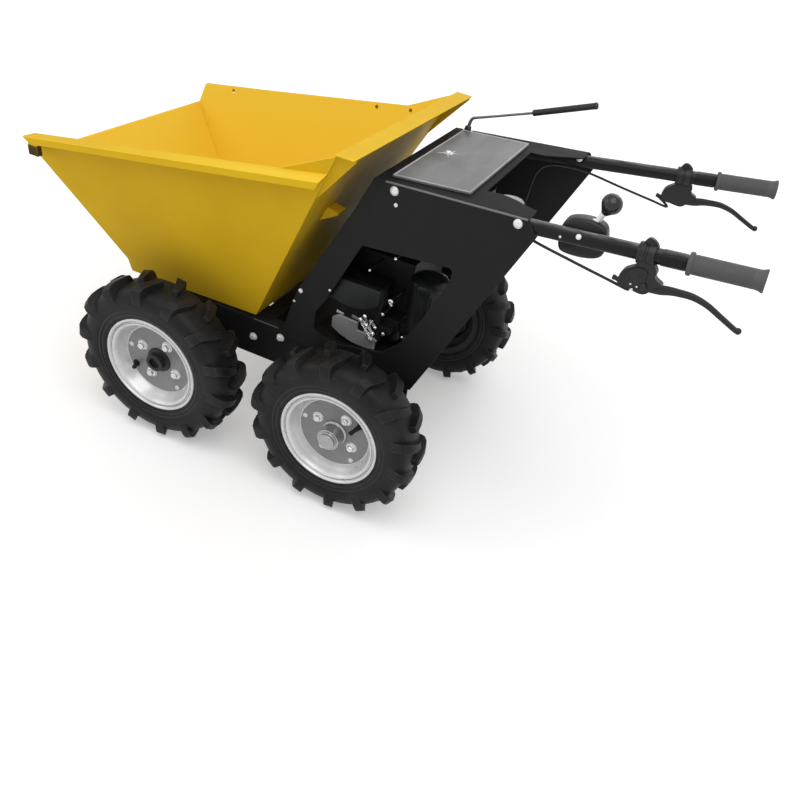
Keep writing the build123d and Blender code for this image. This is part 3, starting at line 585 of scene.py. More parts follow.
class Form:
    """One mesh in the making, in millimetres. Its shapes return the form itself, so calls chain."""

    def __init__(self) -> None:
        """Start empty."""
        self.bm = bmesh.new()

    def skin(self, rings: Sequence[Sequence[Vector]], caps: bool = True) -> "Form":
        """Cover rings of points, one after the other.

        Args:
            rings: rings with the same number of points.
            caps: whether the first and last rings are filled.

        Returns:
            The form itself.
        """
        made = [[self.bm.verts.new(point) for point in ring] for ring in rings]
        count = len(rings[0])
        for one, two in zip(made, made[1:]):
            for i in range(count):
                j = (i + 1) % count
                self.bm.faces.new((one[i], one[j], two[j], two[i]))
        if caps:
            self.bm.faces.new(list(reversed(made[0])))
            self.bm.faces.new(made[-1])
        return self

    def lathe(self, place: Matrix, profile: Sequence[Pair], steps: int = 48, caps: bool = True) -> "Form":
        """Turn a profile of (height, radius) points about a place's Z."""
        return self.skin([[place @ Vector((max(r, TIP) * math.cos(t), max(r, TIP) * math.sin(t), h))
                           for t in circle(steps)] for h, r in profile], caps)

    def tube(self, path: Sequence[Vector], radius: float | Sequence[float], steps: int = 12) -> "Form":
        """A round bar along a path.

        Args:
            path: its centre line.
            radius: one radius, or one for each point.
            steps: sides of the bar.

        Returns:
            The form itself.
        """
        radii = [radius] * len(path) if isinstance(radius, (int, float)) else radius
        side = (path[1] - path[0]).normalized().orthogonal().normalized()
        rings = []
        for i, point in enumerate(path):
            ahead = heading(path, i)
            side = (side - ahead * side.dot(ahead)).normalized()
            up = ahead.cross(side)
            rings.append([point + (side * math.cos(t) + up * math.sin(t)) * radii[i] for t in circle(steps)])
        return self.skin(rings)

    def prism(self, place: Matrix, outline: Sequence[Pair], depth: float) -> "Form":
        """An outline in a place's XY, given a depth along its Z."""
        return self.skin([[place @ Vector((x, y, z)) for x, y in outline] for z in (0.0, depth)])

    def block(self, low: Sequence[float], high: Sequence[float]) -> "Form":
        """A box between two corners."""
        (x0, y0, z0), (x1, y1, z1) = low, high
        return self.prism(Matrix.Translation((0, 0, z0)), [(x0, y0), (x1, y0), (x1, y1), (x0, y1)], z1 - z0)

    def hexbolt(self, at: Vector, axis: Vector, across: float, turn: float = 0.0) -> "Form":
        """A hexagon head on its washer.

        Args:
            at: foot of the washer.
            axis: the way the head points.
            across: size over the flats.
            turn: turn of the hexagon, in degrees.

        Returns:
            The form itself.
        """
        corner = across / math.sqrt(3)
        thin, high = across * 0.11, across * 0.52
        self.lathe(standing(at, axis), [(0, across * 0.82), (thin * 0.8, across * 0.82), (thin, across * 0.77),
                                        (thin, 0.0)], 24)
        return self.lathe(standing(at, axis, turn), [(thin, corner), (thin + high * 0.8, corner),
                                                     (thin + high, corner * 0.84), (thin + high * 0.95, corner * 0.5),
                                                     (thin + high * 0.95, 0.0)], 6)

    def dome(self, at: Vector, axis: Vector, radius: float) -> "Form":
        """A round bolt head with a shallow crown."""
        crown = [(radius * (0.22 + 0.42 * math.sin(t)), radius * 0.95 * math.cos(t))
                 for t in (math.radians(a) for a in (0, 22, 45, 68, 88))]
        return self.lathe(standing(at, axis), [(0, radius), (radius * 0.2, radius), *crown], 20)

    def piece(self, name: str, finish: Finish, body: str = "chassis", edge: float = 0.0, smooth: float = 32.0,
              segments: int = 2, stands_for: str = "") -> None:
        """Make the object, give it its finish and let it ride.

        Args:
            name: the piece's name.
            finish: its finish.
            body: the body it rides on.
            edge: width of the rounding along hard edges.
            smooth: angle up to which faces shade as one, in degrees.
            segments: steps of the rounding.
            stands_for: the CAD node it replaces, if there is one.
        """
        self.bm.transform(Matrix.Scale(MM, 4))
        bmesh.ops.remove_doubles(self.bm, verts=self.bm.verts, dist=1e-6)
        bmesh.ops.recalc_face_normals(self.bm, faces=self.bm.faces)
        mesh = bpy.data.meshes.new(name)
        self.bm.to_mesh(mesh)
        self.bm.free()
        made = placed(name, mesh)
        mesh.materials.append(finish.material())
        mesh.shade_smooth()
        if edge:
            mesh.materials.append(finish.worn().material())
            soften(made, edge, smooth, segments)
        else:
            mesh.set_sharp_from_angle(angle=math.radians(smooth))
        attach(made, body)
        if stands_for:
            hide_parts(stands_for)


def soften(made: bpy.types.Object, width: float, angle: float, segments: int = 2, clamped: bool = True) -> None:
    """Round an object's hard edges; the rounding takes its second material.

    Args:
        made: the object.
        width: width of the rounding.
        angle: edges sharper than this are rounded, in degrees.
        segments: steps of the rounding.
        clamped: whether the rounding shrinks where it would meet another.
    """
    bevel = made.modifiers.new("edge_rounding", "BEVEL")
    bevel.width = width * MM
    bevel.segments = segments
    bevel.limit_method = "ANGLE"
    bevel.angle_limit = math.radians(angle)
    bevel.use_clamp_overlap = clamped
    bevel.harden_normals = True
    bevel.material = 1


def dress(finish: Finish, edge: float, *nodes: str) -> None:
    """Give CAD nodes their finish, and round their edges with modifiers.

    Args:
        finish: the finish.
        edge: width of the rounding along hard edges.
        nodes: the nodes' names.
    """
    for node in nodes:
        made = frame["nodes"][node]
        made.data.materials.clear()
        made.data.materials.append(finish.material())
        if made.data.has_custom_normals:
            with bpy.context.temp_override(object=made, active_object=made, selected_objects=[made]):
                bpy.ops.mesh.customdata_custom_splitnormals_clear()
        made.data.shade_smooth()
        made.modifiers.new("weld", "WELD").merge_threshold = 1e-5
        if edge:
            made.data.materials.append(finish.worn().material())
            flat = made.modifiers.new("flat_faces", "DECIMATE")
            flat.decimate_type = "DISSOLVE"
            flat.angle_limit = math.radians(0.6)
            soften(made, edge, 28.0, clamped=False)
        else:
            made.modifiers.new("hard_edges", "EDGE_SPLIT").split_angle = math.radians(30)


def cad_box(node: str) -> tuple[Vector, Vector]:
    """Low and high corner of a CAD node, in millimetres."""
    return tuple(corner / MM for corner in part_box(node))


# ------------------------------------------------------------------------------------------ studio
@dataclass
class Studio:
    """Pale floor, soft lamps and the camera, in metres."""

    camera_at: Triple = (-0.58422, 1.54122, 1.29078)
    yaw: float = -1.3436
    pitch: float = -0.66217
    roll: float = 0.24032
    lens: float = 33.952
    sensor: float = 36.0
    shift: Pair = (-0.0643, 0.0384)
    clip: Pair = (0.05, 100.0)
    ambient: float = 0.55
    floor_half: float = 30.0
    floor_grey: float = 0.86
    # how bright the floor shows near the machine and far off, and where the one ends and the other starts
    floor_lift: Pair = (0.30, 0.62)
    floor_fade: Pair = (0.6, 3.5)
    # name, place, aim, edge and watts
    lamps: tuple[tuple[str, Triple, Triple, float, float], ...] = (
        ("key_lamp", (-0.6, 1.2, 3.0), (0.2, 0.0, 0.4), 2.2, 34.0),
        ("front_lamp", (2.6, 1.4, 2.2), (0.3, 0.0, 0.5), 1.8, 16.0),
        ("back_lamp", (-0.5, -2.6, 2.4), (0.1, 0.0, 0.5), 2.0, 14.0))

    def build_world(self) -> None:
        """White where it is seen or mirrored, and an even grey sky for the light."""
        bench = NodeBench(bpy.data.worlds.new("studio_world"))
        bpy.context.scene.world = bench.owner
        bench.drive(Color=(1, 1, 1), Strength=bench.mapped(bench.seen(), target=(self.ambient, 1.0)))

    def build_floor(self) -> None:
        """A pale floor that keeps the machine's shadow."""
        bench = NodeBench(bpy.data.materials.new("studio_floor_paint"))
        reach = bench.node("VectorMath", "Value", {0: bench.place}, operation="LENGTH")
        lift = bench.times(bench.seen(), bench.mapped(reach, self.floor_fade, self.floor_lift))
        bench.drive(Base_Color=(self.floor_grey,) * 3, Roughness=0.9, Specular_IOR_Level=0.1,
                    Emission_Color=(1, 1, 1), Emission_Strength=lift)
        mesh = bpy.data.meshes.new("studio_floor")
        half = self.floor_half
        mesh.from_pydata([(-half, -half, 0), (half, -half, 0), (half, half, 0), (-half, half, 0)], [], [(0, 1, 2, 3)])
        mesh.materials.append(bench.owner)
        placed("studio_floor", mesh)

    def build_lamps(self) -> None:
        """Soft square lamps."""
        for name, at, aim, size, power in self.lamps:
            data = bpy.data.lights.new(name, "AREA")
            data.size = size
            data.energy = power
            made = placed(name, data)
            made.location = at
            made.rotation_mode = "QUATERNION"
            made.rotation_quaternion = (Vector(aim) - Vector(at)).to_track_quat("-Z", "Y")

    def build_camera(self) -> None:
        """The camera, from its place and its three angles."""
        level = math.cos(self.pitch)
        look = Vector((level * math.cos(self.yaw), level * math.sin(self.yaw), math.sin(self.pitch)))
        right = look.cross(UP).normalized()
        up = right.cross(look)
        c, s = math.cos(self.roll), math.sin(self.roll)
        data = bpy.data.cameras.new("studio_camera")
        data.sensor_width = self.sensor
        data.lens = self.lens
        data.shift_x, data.shift_y = self.shift
        data.clip_start, data.clip_end = self.clip
        camera = placed("studio_camera", data)
        turn = Matrix((right * c + up * s, up * c - right * s, -look)).transposed()
        camera.matrix_world = Matrix.Translation(self.camera_at) @ turn.to_4x4()
        bpy.context.scene.camera = camera

    def build(self) -> None:
        """Everything of the studio."""
        bpy.context.scene.view_settings.view_transform = "Standard"
        self.build_world()
        self.build_floor()
        self.build_lamps()
        self.build_camera()
        LOG.info("studio: floor, world, %d lamps and the camera", len(self.lamps))


# ------------------------------------------------------------------------------------------ wheels
@dataclass
class Tyre:
    """A tractor-tread tyre: rounded carcass, curved bars with drafted sides, ribs on the walls."""

    radius: float = 203
    width: float = 104
    lug_height: float = 14
    lug_count: int = 14
    lug_width: float = 23
    lug_lead: float = 25
    rim_radius: float = 104
    steps: int = 84

    def section(self) -> list[Pair]:
        """Half of the carcass's section, from the middle of the tread to the bead.

        Returns:
            The (y, radius) points.
        """
        half, top = self.width / 2, self.radius - self.lug_height
        points = [(0, top), (half * 0.45, top - 1.2), (half * 0.72, top - 5), (half * 0.88, top - 12),
                  (half * 0.97, top - 22), (half, top - 34), (half * 0.985, top - 46)]
        wall_foot = (half * 0.90, self.rim_radius + 16)
        for rib in (0.30, 0.62):
            y = points[6][0] + (wall_foot[0] - points[6][0]) * rib
            r = points[6][1] + (wall_foot[1] - points[6][1]) * rib
            points += [(y, r + 2.4), (y + 1.3, r + 1.2), (y + 1.3, r - 1.2), (y, r - 2.4)]
        return [*points, wall_foot, (half * 0.85, self.rim_radius + 13), (half * 0.80, self.rim_radius + 2),
                (half * 0.80, self.rim_radius - 2)]

    def bar(self, form: Form, place: Matrix, side: int, turn: float) -> None:
        """One bar of the tread.

        Args:
            form: the mesh it goes into.
            place: the wheel's middle.
            side: the tread's half, as a sign along Y.
            turn: where it stands round the wheel, in radians.
        """
        half, top = self.width / 2, self.radius - self.lug_height
        # across the tread and down the wall: (y, share of the lead, foot radius, top radius, share of the width)
        stations = [(-5, -0.02, top - 5, self.radius - 1.5, 0.62), (3, 0.03, top - 5, self.radius, 0.78),
                    (half * 0.34, 0.22, top - 5, self.radius, 0.92),
                    (half * 0.62, 0.50, top - 7, self.radius - 1, 1.0),
                    (half * 0.84, 0.76, top - 13, self.radius - 4.5, 1.08),
                    (half * 0.985, 0.90, top - 22, self.radius - 11, 1.16),
                    (half + 2.4, 0.98, top - 32, self.radius - 21, 1.2),
                    (half + 2.2, 1.0, top - 42, self.radius - 38, 1.12)]
        rings = []
        for y, lead, foot, crest, share in stations:
            wide = self.lug_width * share / 2
            ring = []
            for reach, r in ((-1.28, foot), (-0.92, crest), (0.92, crest), (1.28, foot)):
                angle = turn + (self.lug_lead * lead + wide * reach) / self.radius
                inward = 4 if r == foot else 0.0
                ring.append(place @ Vector((r * math.sin(angle), side * (y - inward), r * math.cos(angle))))
            rings.append(ring)
        form.skin(rings)

    def build(self, name: str, place: Matrix, body: str, node: str, side: Side) -> None:
        """The tyre with its bars, in the place of the CAD node.

        Args:
            name: the piece's name.
            place: the wheel's middle.
            body: the body it rides on.
            node: the CAD node it stands for.
            side: which side of the machine it is on.
        """
        form = Form()
        half = self.section()
        profile = [*reversed(half), *[(-y, r) for y, r in half[1:]]]
        form.lathe(standing(place.translation, OUT), [*profile, profile[0]], self.steps, caps=False)
        pitch = 2 * math.pi / self.lug_count
        for tread_half, shift in ((1, 0.0), (-1, 0.5)):
            for index in range(self.lug_count):
                self.bar(form, place, tread_half * side.value, (index + shift) * pitch)
        # painted highlight: the bars' rounded edges take the paler rubber
        form.piece(name, TYRE, body, edge=3.0, smooth=30.0, segments=3, stands_for=node)


@dataclass
class Rim:
    """A pressed wheel: rolled flange, ridged mouth, dished disc with bolts and a valve."""

    flange_radius: float = 117
    bead_radius: float = 101.6
    half_width: float = 46
    disc_at: float = 14
    bolt_circle: float = 50
    bolt_count: int = 4
    boss_circle: float = 78
    valve_circle: float = 74
    steps: int = 84

    def disc(self) -> list[Pair]:
        """The flat disc with its raised ring, from the hub hole outwards: (y, radius)."""
        d = self.disc_at
        return [(d - 4, 30.4), (d, 30.4), (d, 80.5), (d + 1.4, 82.5), (d + 2.8, 84.5)]

    def mouth(self) -> list[Pair]:
        """The raised ring's outer half, the cone, the groove and the rolled lip.

        Returns:
            The (y, radius) points.
        """
        h, f, d = self.half_width, self.flange_radius, self.disc_at
        return [(d + 2.8, 84.5), (d + 3.0, 86), (d + 1.6, 87.6), (d + 4, 89), (d + 13, 92.5), (h - 12, 97.5),
                (h - 3, 99.5), (h - 0.5, 101.8), (h + 0.8, 104), (h + 0.4, 105.6), (h - 3.4, 107.2),
                (h - 3.8, 109.6), (h - 0.5, 111.2), (h + 1.8, 112.6), (h + 2.6, f - 2), (h + 1.4, f + 0.6),
                (h - 1.5, f + 0.9), (h - 4, f - 1)]

    def barrel(self) -> list[Pair]:
        """The barrel and the inner side, from the outer flange round to the disc's back.

        Returns:
            The (y, radius) points.
        """
        h, f, b, d = self.half_width, self.flange_radius, self.bead_radius, self.disc_at
        return [(h - 4, f - 1), (h - 5, b + 4), (h - 22, b), (h - 34, b - 14), (28 - h, b - 14), (22 - h, b),
                (4 - h, b + 3), (4 - h, f - 2), (2 - h, f), (-h, f - 1), (-h, b), (3 - h, b - 3), (21 - h, b - 3),
                (27 - h, b - 17), (d - 4, b - 17), (d - 4, 30.4)]

    def build(self, name: str, place: Matrix, body: str, node: str, turns: Pair) -> None:
        """The rim, its bolts and its valve.

        Args:
            name: start of the pieces' names.
            place: the wheel's middle, its own Y outwards.
            body: the body it rides on.
            node: the CAD node it stands for.
            turns: where the valve and the first bolt are, in degrees above the horizontal.
        """
        axis = (place.to_3x3() @ OUT).normalized()
        upright = standing(place.translation, axis)
        # painted light and shade: the disc, mouth and barrel take darker, lighter and near-black copies of the same
        # silver paint
        for part, profile, finish in (("disc", self.disc(), WHEEL_SILVER_SHADED), ("mouth", self.mouth(), WHEEL_SILVER_LIT),
                                      ("barrel", self.barrel(), WHEEL_SILVER_DARK_BACK)):
            Form().lathe(upright, profile, self.steps, False).piece(f"{name}_rim_{part}", finish, body, smooth=38.0,
                                                                    stands_for=node)
        valve_turn, bolt_turn = turns

        def on_disc(radius: float, turn: float) -> Vector:
            """A point on the disc."""
            angle = math.radians(turn)
            return place @ Vector((radius * math.cos(angle), self.disc_at, radius * math.sin(angle)))

        bolts, bosses = Form(), Form()
        for index in range(self.bolt_count):
            turn = bolt_turn + index * 360 / self.bolt_count
            at = on_disc(self.bolt_circle, turn)
            bosses.lathe(standing(at - axis * 0.4, axis), [(0, 14), (1.6, 12.4), (2.2, 10), (2.2, 0)], 28)
            bolts.hexbolt(at + axis * 1.6, axis, 14, 20.0 * index)
        for shift in (-18.0, -155.0):
            at = on_disc(self.boss_circle, bolt_turn + shift)
            bosses.lathe(standing(at - axis * 0.4, axis), [(0, 7), (1.5, 6), (2.6, 3.6), (2.9, 0)], 20)
        # the bosses take the lighter copy, a painted highlight
        bosses.piece(name + "_bosses", WHEEL_SILVER_LIT, body, smooth=50.0)
        bolts.piece(name + "_bolts", ZINC, body, edge=0.5)
        root = on_disc(self.valve_circle, valve_turn) - axis * 1
        lean = (axis * 0.8 + (place.translation + axis * self.disc_at - root).normalized() * 0.45).normalized()
        Form().lathe(standing(root, lean), [(0, 9), (2, 9), (4, 6.2), (14, 5.2), (20, 4.0), (20.5, 4.9), (31, 4.9),
                                            (32, 4.0)], 20).piece(name + "_valve", VALVE, body, smooth=40.0)


@dataclass
class Wheels:
    """The four wheels."""

    tyre: Tyre = field(default_factory=Tyre)
    rim: Rim = field(default_factory=Rim)
    # the valve's and the first bolt's place on each axle's wheels, in degrees
    turns: dict[End, Pair] = field(default_factory=lambda: {End.FRONT: (-29.0, 28.0), End.REAR: (143.0, 28.0)})

    def build(self) -> None:
        """Tyres, rims and hubs of all four."""
        for end in End:
            for side in Side:
                label = f"{end.value}_{side.word}"
                low, high = cad_box(f"tyre_{label}")
                centre = Matrix.Translation((low + high) / 2)
                body = f"wheel_{label}"
                self.tyre.build(f"{label}_tread", centre, body, f"tyre_{label}", side)
                place = centre @ Matrix.Scale(side.value, 4, (0, 1, 0))
                self.rim.build(label, place, body, f"rim_{label}", self.turns[end])
                dress(HUB_BLACK if end is End.FRONT else HUB_STEEL, 1.0, f"hub_{label}")
                LOG.info("wheel %s: tyre with bars, rim, bolts, valve and hub", label)


# ------------------------------------------------------------------------------------------ chassis
@dataclass
class Chassis:
    """Rails, axles, hinge pin and transmission, with their fasteners."""

    rail_face_y: float = 200
    # painted highlights along the rails' edges: start and end along the machine, height
    rubbed_edges: tuple[Triple, ...] = ((256, 190, 309.6), (297, 190, 211.4))
    rail_bolts: tuple[Pair, ...] = ((255.5, 261), (182.6, 287), (-120, 272))

    def build(self) -> None:
        """Dress the nodes and add the bolts, and the light grey lines that paint highlights on the rails' edges."""
        dress(BLACK, 0.8, "chassis_rail_left", "chassis_rail_right", "chassis_crossmembers", "engine_bed")
        dress(BLACK, 0.0, "axle_front", "axle_rear", "propshaft")
        dress(ENGINE_DARK, 1.5, "gearbox")
        dress(ZINC, 1.0, "hinge_pin")
        bolts = Form()
        for side in Side:
            for x, z in self.rail_bolts:
                bolts.hexbolt(side.at(x, self.rail_face_y, z), side.at(0, 1, 0), 12, 12.0)
        bolts.piece("chassis_bolts", BRIGHT_ZINC, edge=0.5)
        edges = Form()
        for side in Side:
            for start, end, z in self.rubbed_edges:
                edges.tube([side.at(start + (end - start) * i / 8, self.rail_face_y - 0.5, z) for i in range(9)],
                           0.9, 8)
        edges.piece("rail_rubbed_edges", EDGE_HIGHLIGHT, smooth=60.0)
        LOG.info("chassis: rails, members, axles, gearbox and bolts")


# ------------------------------------------------------------------------------------------ skip
@dataclass
class Skip:
    """The tipping skip: folded sheet walls, welded along their corners; points are in side view."""

    rim_front: Pair = (740, 625)
    rim_slope: float = 0.18305
    half_width: float = 300
    side_slope: float = 0.27
    sheet: float = 3
    lip: Pair = (28, 794)
    rear_foot: Pair = (255, 317)
    front_foot: Pair = (592, 353)
    front_top: Pair = (752, 579)
    ripple: float = 3.2
    bead_radius: float = 2.4
    buffer_reach: Pair = (8.2, 21.8)

    def side_y(self, x: float, z: float) -> float:
        """Half width outside at a point in side view."""
        return self.half_width - self.side_slope * (self.rim_front[1] + (self.rim_front[0] - x) * self.rim_slope - z)

    def bead(self, form: Form, start: Pair, end: Pair, side: Side, inwards: Vector) -> None:
        """A hand-laid weld bead with its ripples.

        Args:
            form: the mesh it goes into.
            start: start of the corner in side view.
            end: end of the corner in side view.
            side: which side wall.
            inwards: from the sheets' outer corner to the bead.
        """
        a, b = (side.at(x, self.side_y(x, z), z) for x, z in (start, end))
        count = max(8, int((b - a).length / self.ripple))
        path, radii = [], []
        for i in range(count + 1):
            share = 0.02 + 0.96 * i / count
            path.append(a.lerp(b, share) + inwards)
            radii.append(self.bead_radius * (1.0 + 0.14 * math.sin(i * 2.1) + 0.06 * math.sin(i * 0.37)))
        form.tube(path, radii, 8)

    def build_welds(self) -> None:
        """Beads in the inner corners."""
        beads = Form()
        for side in Side:
            inner = -side.value * (self.sheet + 1.2)
            up = self.sheet + 1.0
            self.bead(beads, self.front_foot, self.front_top, side, Vector((-up, inner, up * 0.6)))
            self.bead(beads, self.rear_foot, self.front_foot, side, Vector((0, inner * 1.4, up)))
            self.bead(beads, self.rear_foot, self.lip, side, Vector((up, inner, up * 0.5)))
        beads.piece("skip_welds", YELLOW, "skip", smooth=60.0)

    def build_buffers(self) -> None:
        """Dark brown blocks wrapped round the tabs under the rim's front corners."""
        tab_blocks = Form()
        x = self.rim_front[0] - self.sheet
        foot = self.rim_front[1] - 18
        for side in Side:
            near, far = sorted(side.value * (self.half_width + reach) for reach in self.buffer_reach)
            tab_blocks.block((x - 23, near, foot - 20.8), (x + 0.8, far, foot + 1))
        tab_blocks.piece("skip_rim_buffers", DARK_TAB_BLOCK, "skip", edge=1.4)

    def build(self) -> None:
        """Dress the nodes and add welds and the dark tab blocks."""
        dress(YELLOW, 0.9, "skip_side_left", "skip_side_right", "skip_floor", "skip_front", "skip_rear")
        # the catch and hinge brackets take the same coat, so its painted shade darkens their rearward faces too
        dress(YELLOW, 1.0, "skip_hinge_brackets", "skip_catch")
        self.build_welds()
        self.build_buffers()
        LOG.info("skip: walls, rim, lip, brackets, catch, welds and buffers")


# ------------------------------------------------------------------------------------------ body
@dataclass
class Body:
    """The sheet-metal body over the engine."""

    half_width: float = 221.5
    front_x: float = -12
    rear_x: float = -331
    splay: float = 0.085
    deck_front_z: float = 743
    deck_slope: float = 0.0945
    tray_height: float = 5
    tray_x: Pair = (-200, -38)
    tray_half: float = 196
    catch_at: Pair = (-74.8, -5)
    catch_ribs: tuple[float, ...] = (20.0, 60.0, 110.0, 155.0, 215.0, 300.0)
    handle_bolt_x: float = -317.5
    tab_outline: Outline = ((-245, 149.0), (-256, 149.5), (-268, 153.0), (-283, 160.5), (-301, 172.5), (-296, 160.0),
                            (-288, 148.5), (-276, 141.5), (-262, 141.0))
    # along the machine, height, radius
    plate_bolts: tuple[Triple, ...] = ((-59, 732.6, 9), (-66, 706.6, 4.2), (-314, 759.5, 9))
    front_bolts: tuple[Triple, ...] = ((133.7, 435, 5.5), (60.5, 466.5, 3), (149, 403, 3))

    def side_point(self, x: float, z: float, side: Side) -> Vector:
        """A point on the outside of a body plate."""
        return side.at(x, self.half_width + (self.front_x - x) * self.splay, z)

    def deck_z(self, x: float) -> float:
        """Height of the deck's top."""
        return self.deck_front_z + (self.front_x - x) * self.deck_slope

    def build_folds(self) -> None:
        """The rounded folds between the deck and the side plates, in a light grey that paints their highlight."""
        folds = Form()
        for side in Side:
            start, end = (self.side_point(x, self.deck_z(x), side) - side.at(0, 1.6, 1.6)
                          for x in (self.front_x - 26, self.rear_x + 1))
            folds.tube([start.lerp(end, i / 24) for i in range(25)], 2.1, 12)
        folds.piece("body_folds", EDGE_HIGHLIGHT, smooth=60.0)

    def build_tray(self) -> None:
        """The tray's raised border, in a lighter grey that paints its highlight, and the catch in its middle."""
        low, high = self.tray_x
        half = self.tray_half

        def top(x: float, y: float, lift: float) -> Vector:
            """A point over the tray."""
            return Vector((x, y, self.deck_z(x) + self.tray_height + lift))

        rings = [[top(x, y, lift) for x, y in ((low + inset, inset - half), (high - inset, inset - half),
                                               (high - inset, half - inset), (low + inset, half - inset))]
                 for inset, lift in ((0.6, -0.4), (1.0, 1.1), (3.3, 1.1), (4.5, -0.4))]
        Form().skin([*rings, rings[0]], caps=False).piece("tray_border", TRAY_LIP_HIGHLIGHT, edge=0.3)
        catch = Form()
        up = Vector((self.deck_slope, 0, 1)).normalized()
        at = top(*self.catch_at, -0.2)
        catch.lathe(standing(at, up), [(0, 11), (0.9, 11), (1.3, 10), (1.3, 0)], 28)
        catch.dome(at + up * 1.2, up, 7)
        for turn in self.catch_ribs:
            way = standing(at, up, turn)
            catch.skin([[way @ Vector((8, y, z)) for y, z in ((-1.8, 0), (1.8, 0), (0, 1.0))],
                        [way @ Vector((24, y, z)) for y, z in ((-0.6, 0), (0.6, 0), (0, 0.3))]])
        catch.piece("tray_catch", ZINC, smooth=35.0)

    def build_opening(self) -> None:
        """The curved bright tab at the left front corner of the deck's opening."""
        Form().skin([[Vector((x, y, self.deck_z(x) + z)) for x, y in self.tab_outline]
                     for z in (-4, -1.2)]).piece("deck_corner_tab", TAB_STEEL, edge=0.6)

    def build_bolts(self) -> None:
        """Dome bolts outside, and the heads of the handle bolts inside."""
        bolts = Form()
        for side in Side:
            out = side.at(self.splay, 1, 0).normalized()
            for x, z, radius in (*self.plate_bolts, *self.front_bolts):
                bolts.dome(self.side_point(x, z, side), out, radius)
            x = self.handle_bolt_x
            inside = self.side_point(x, self.deck_z(x) - 8.5, side) - side.at(0, 30.5, 0)
            bolts.dome(inside, side.at(0, -1, 0.25).normalized(), 8)
        bolts.piece("body_bolts", BRIGHT_ZINC, edge=0.4)

    def build(self) -> None:
        """Dress the nodes and add folds, tray border, tab and fasteners."""
        dress(BLACK, 0.8, "body_plate_left", "body_plate_right", "body_front_panel")
        dress(DECK_BLACK, 0.8, "body_deck")
        dress(TRAY, 1.2, "deck_tray")
        self.build_folds()
        self.build_tray()
        self.build_opening()
        self.build_bolts()
        LOG.info("body: plates, deck, folds, tray, tab and bolts")


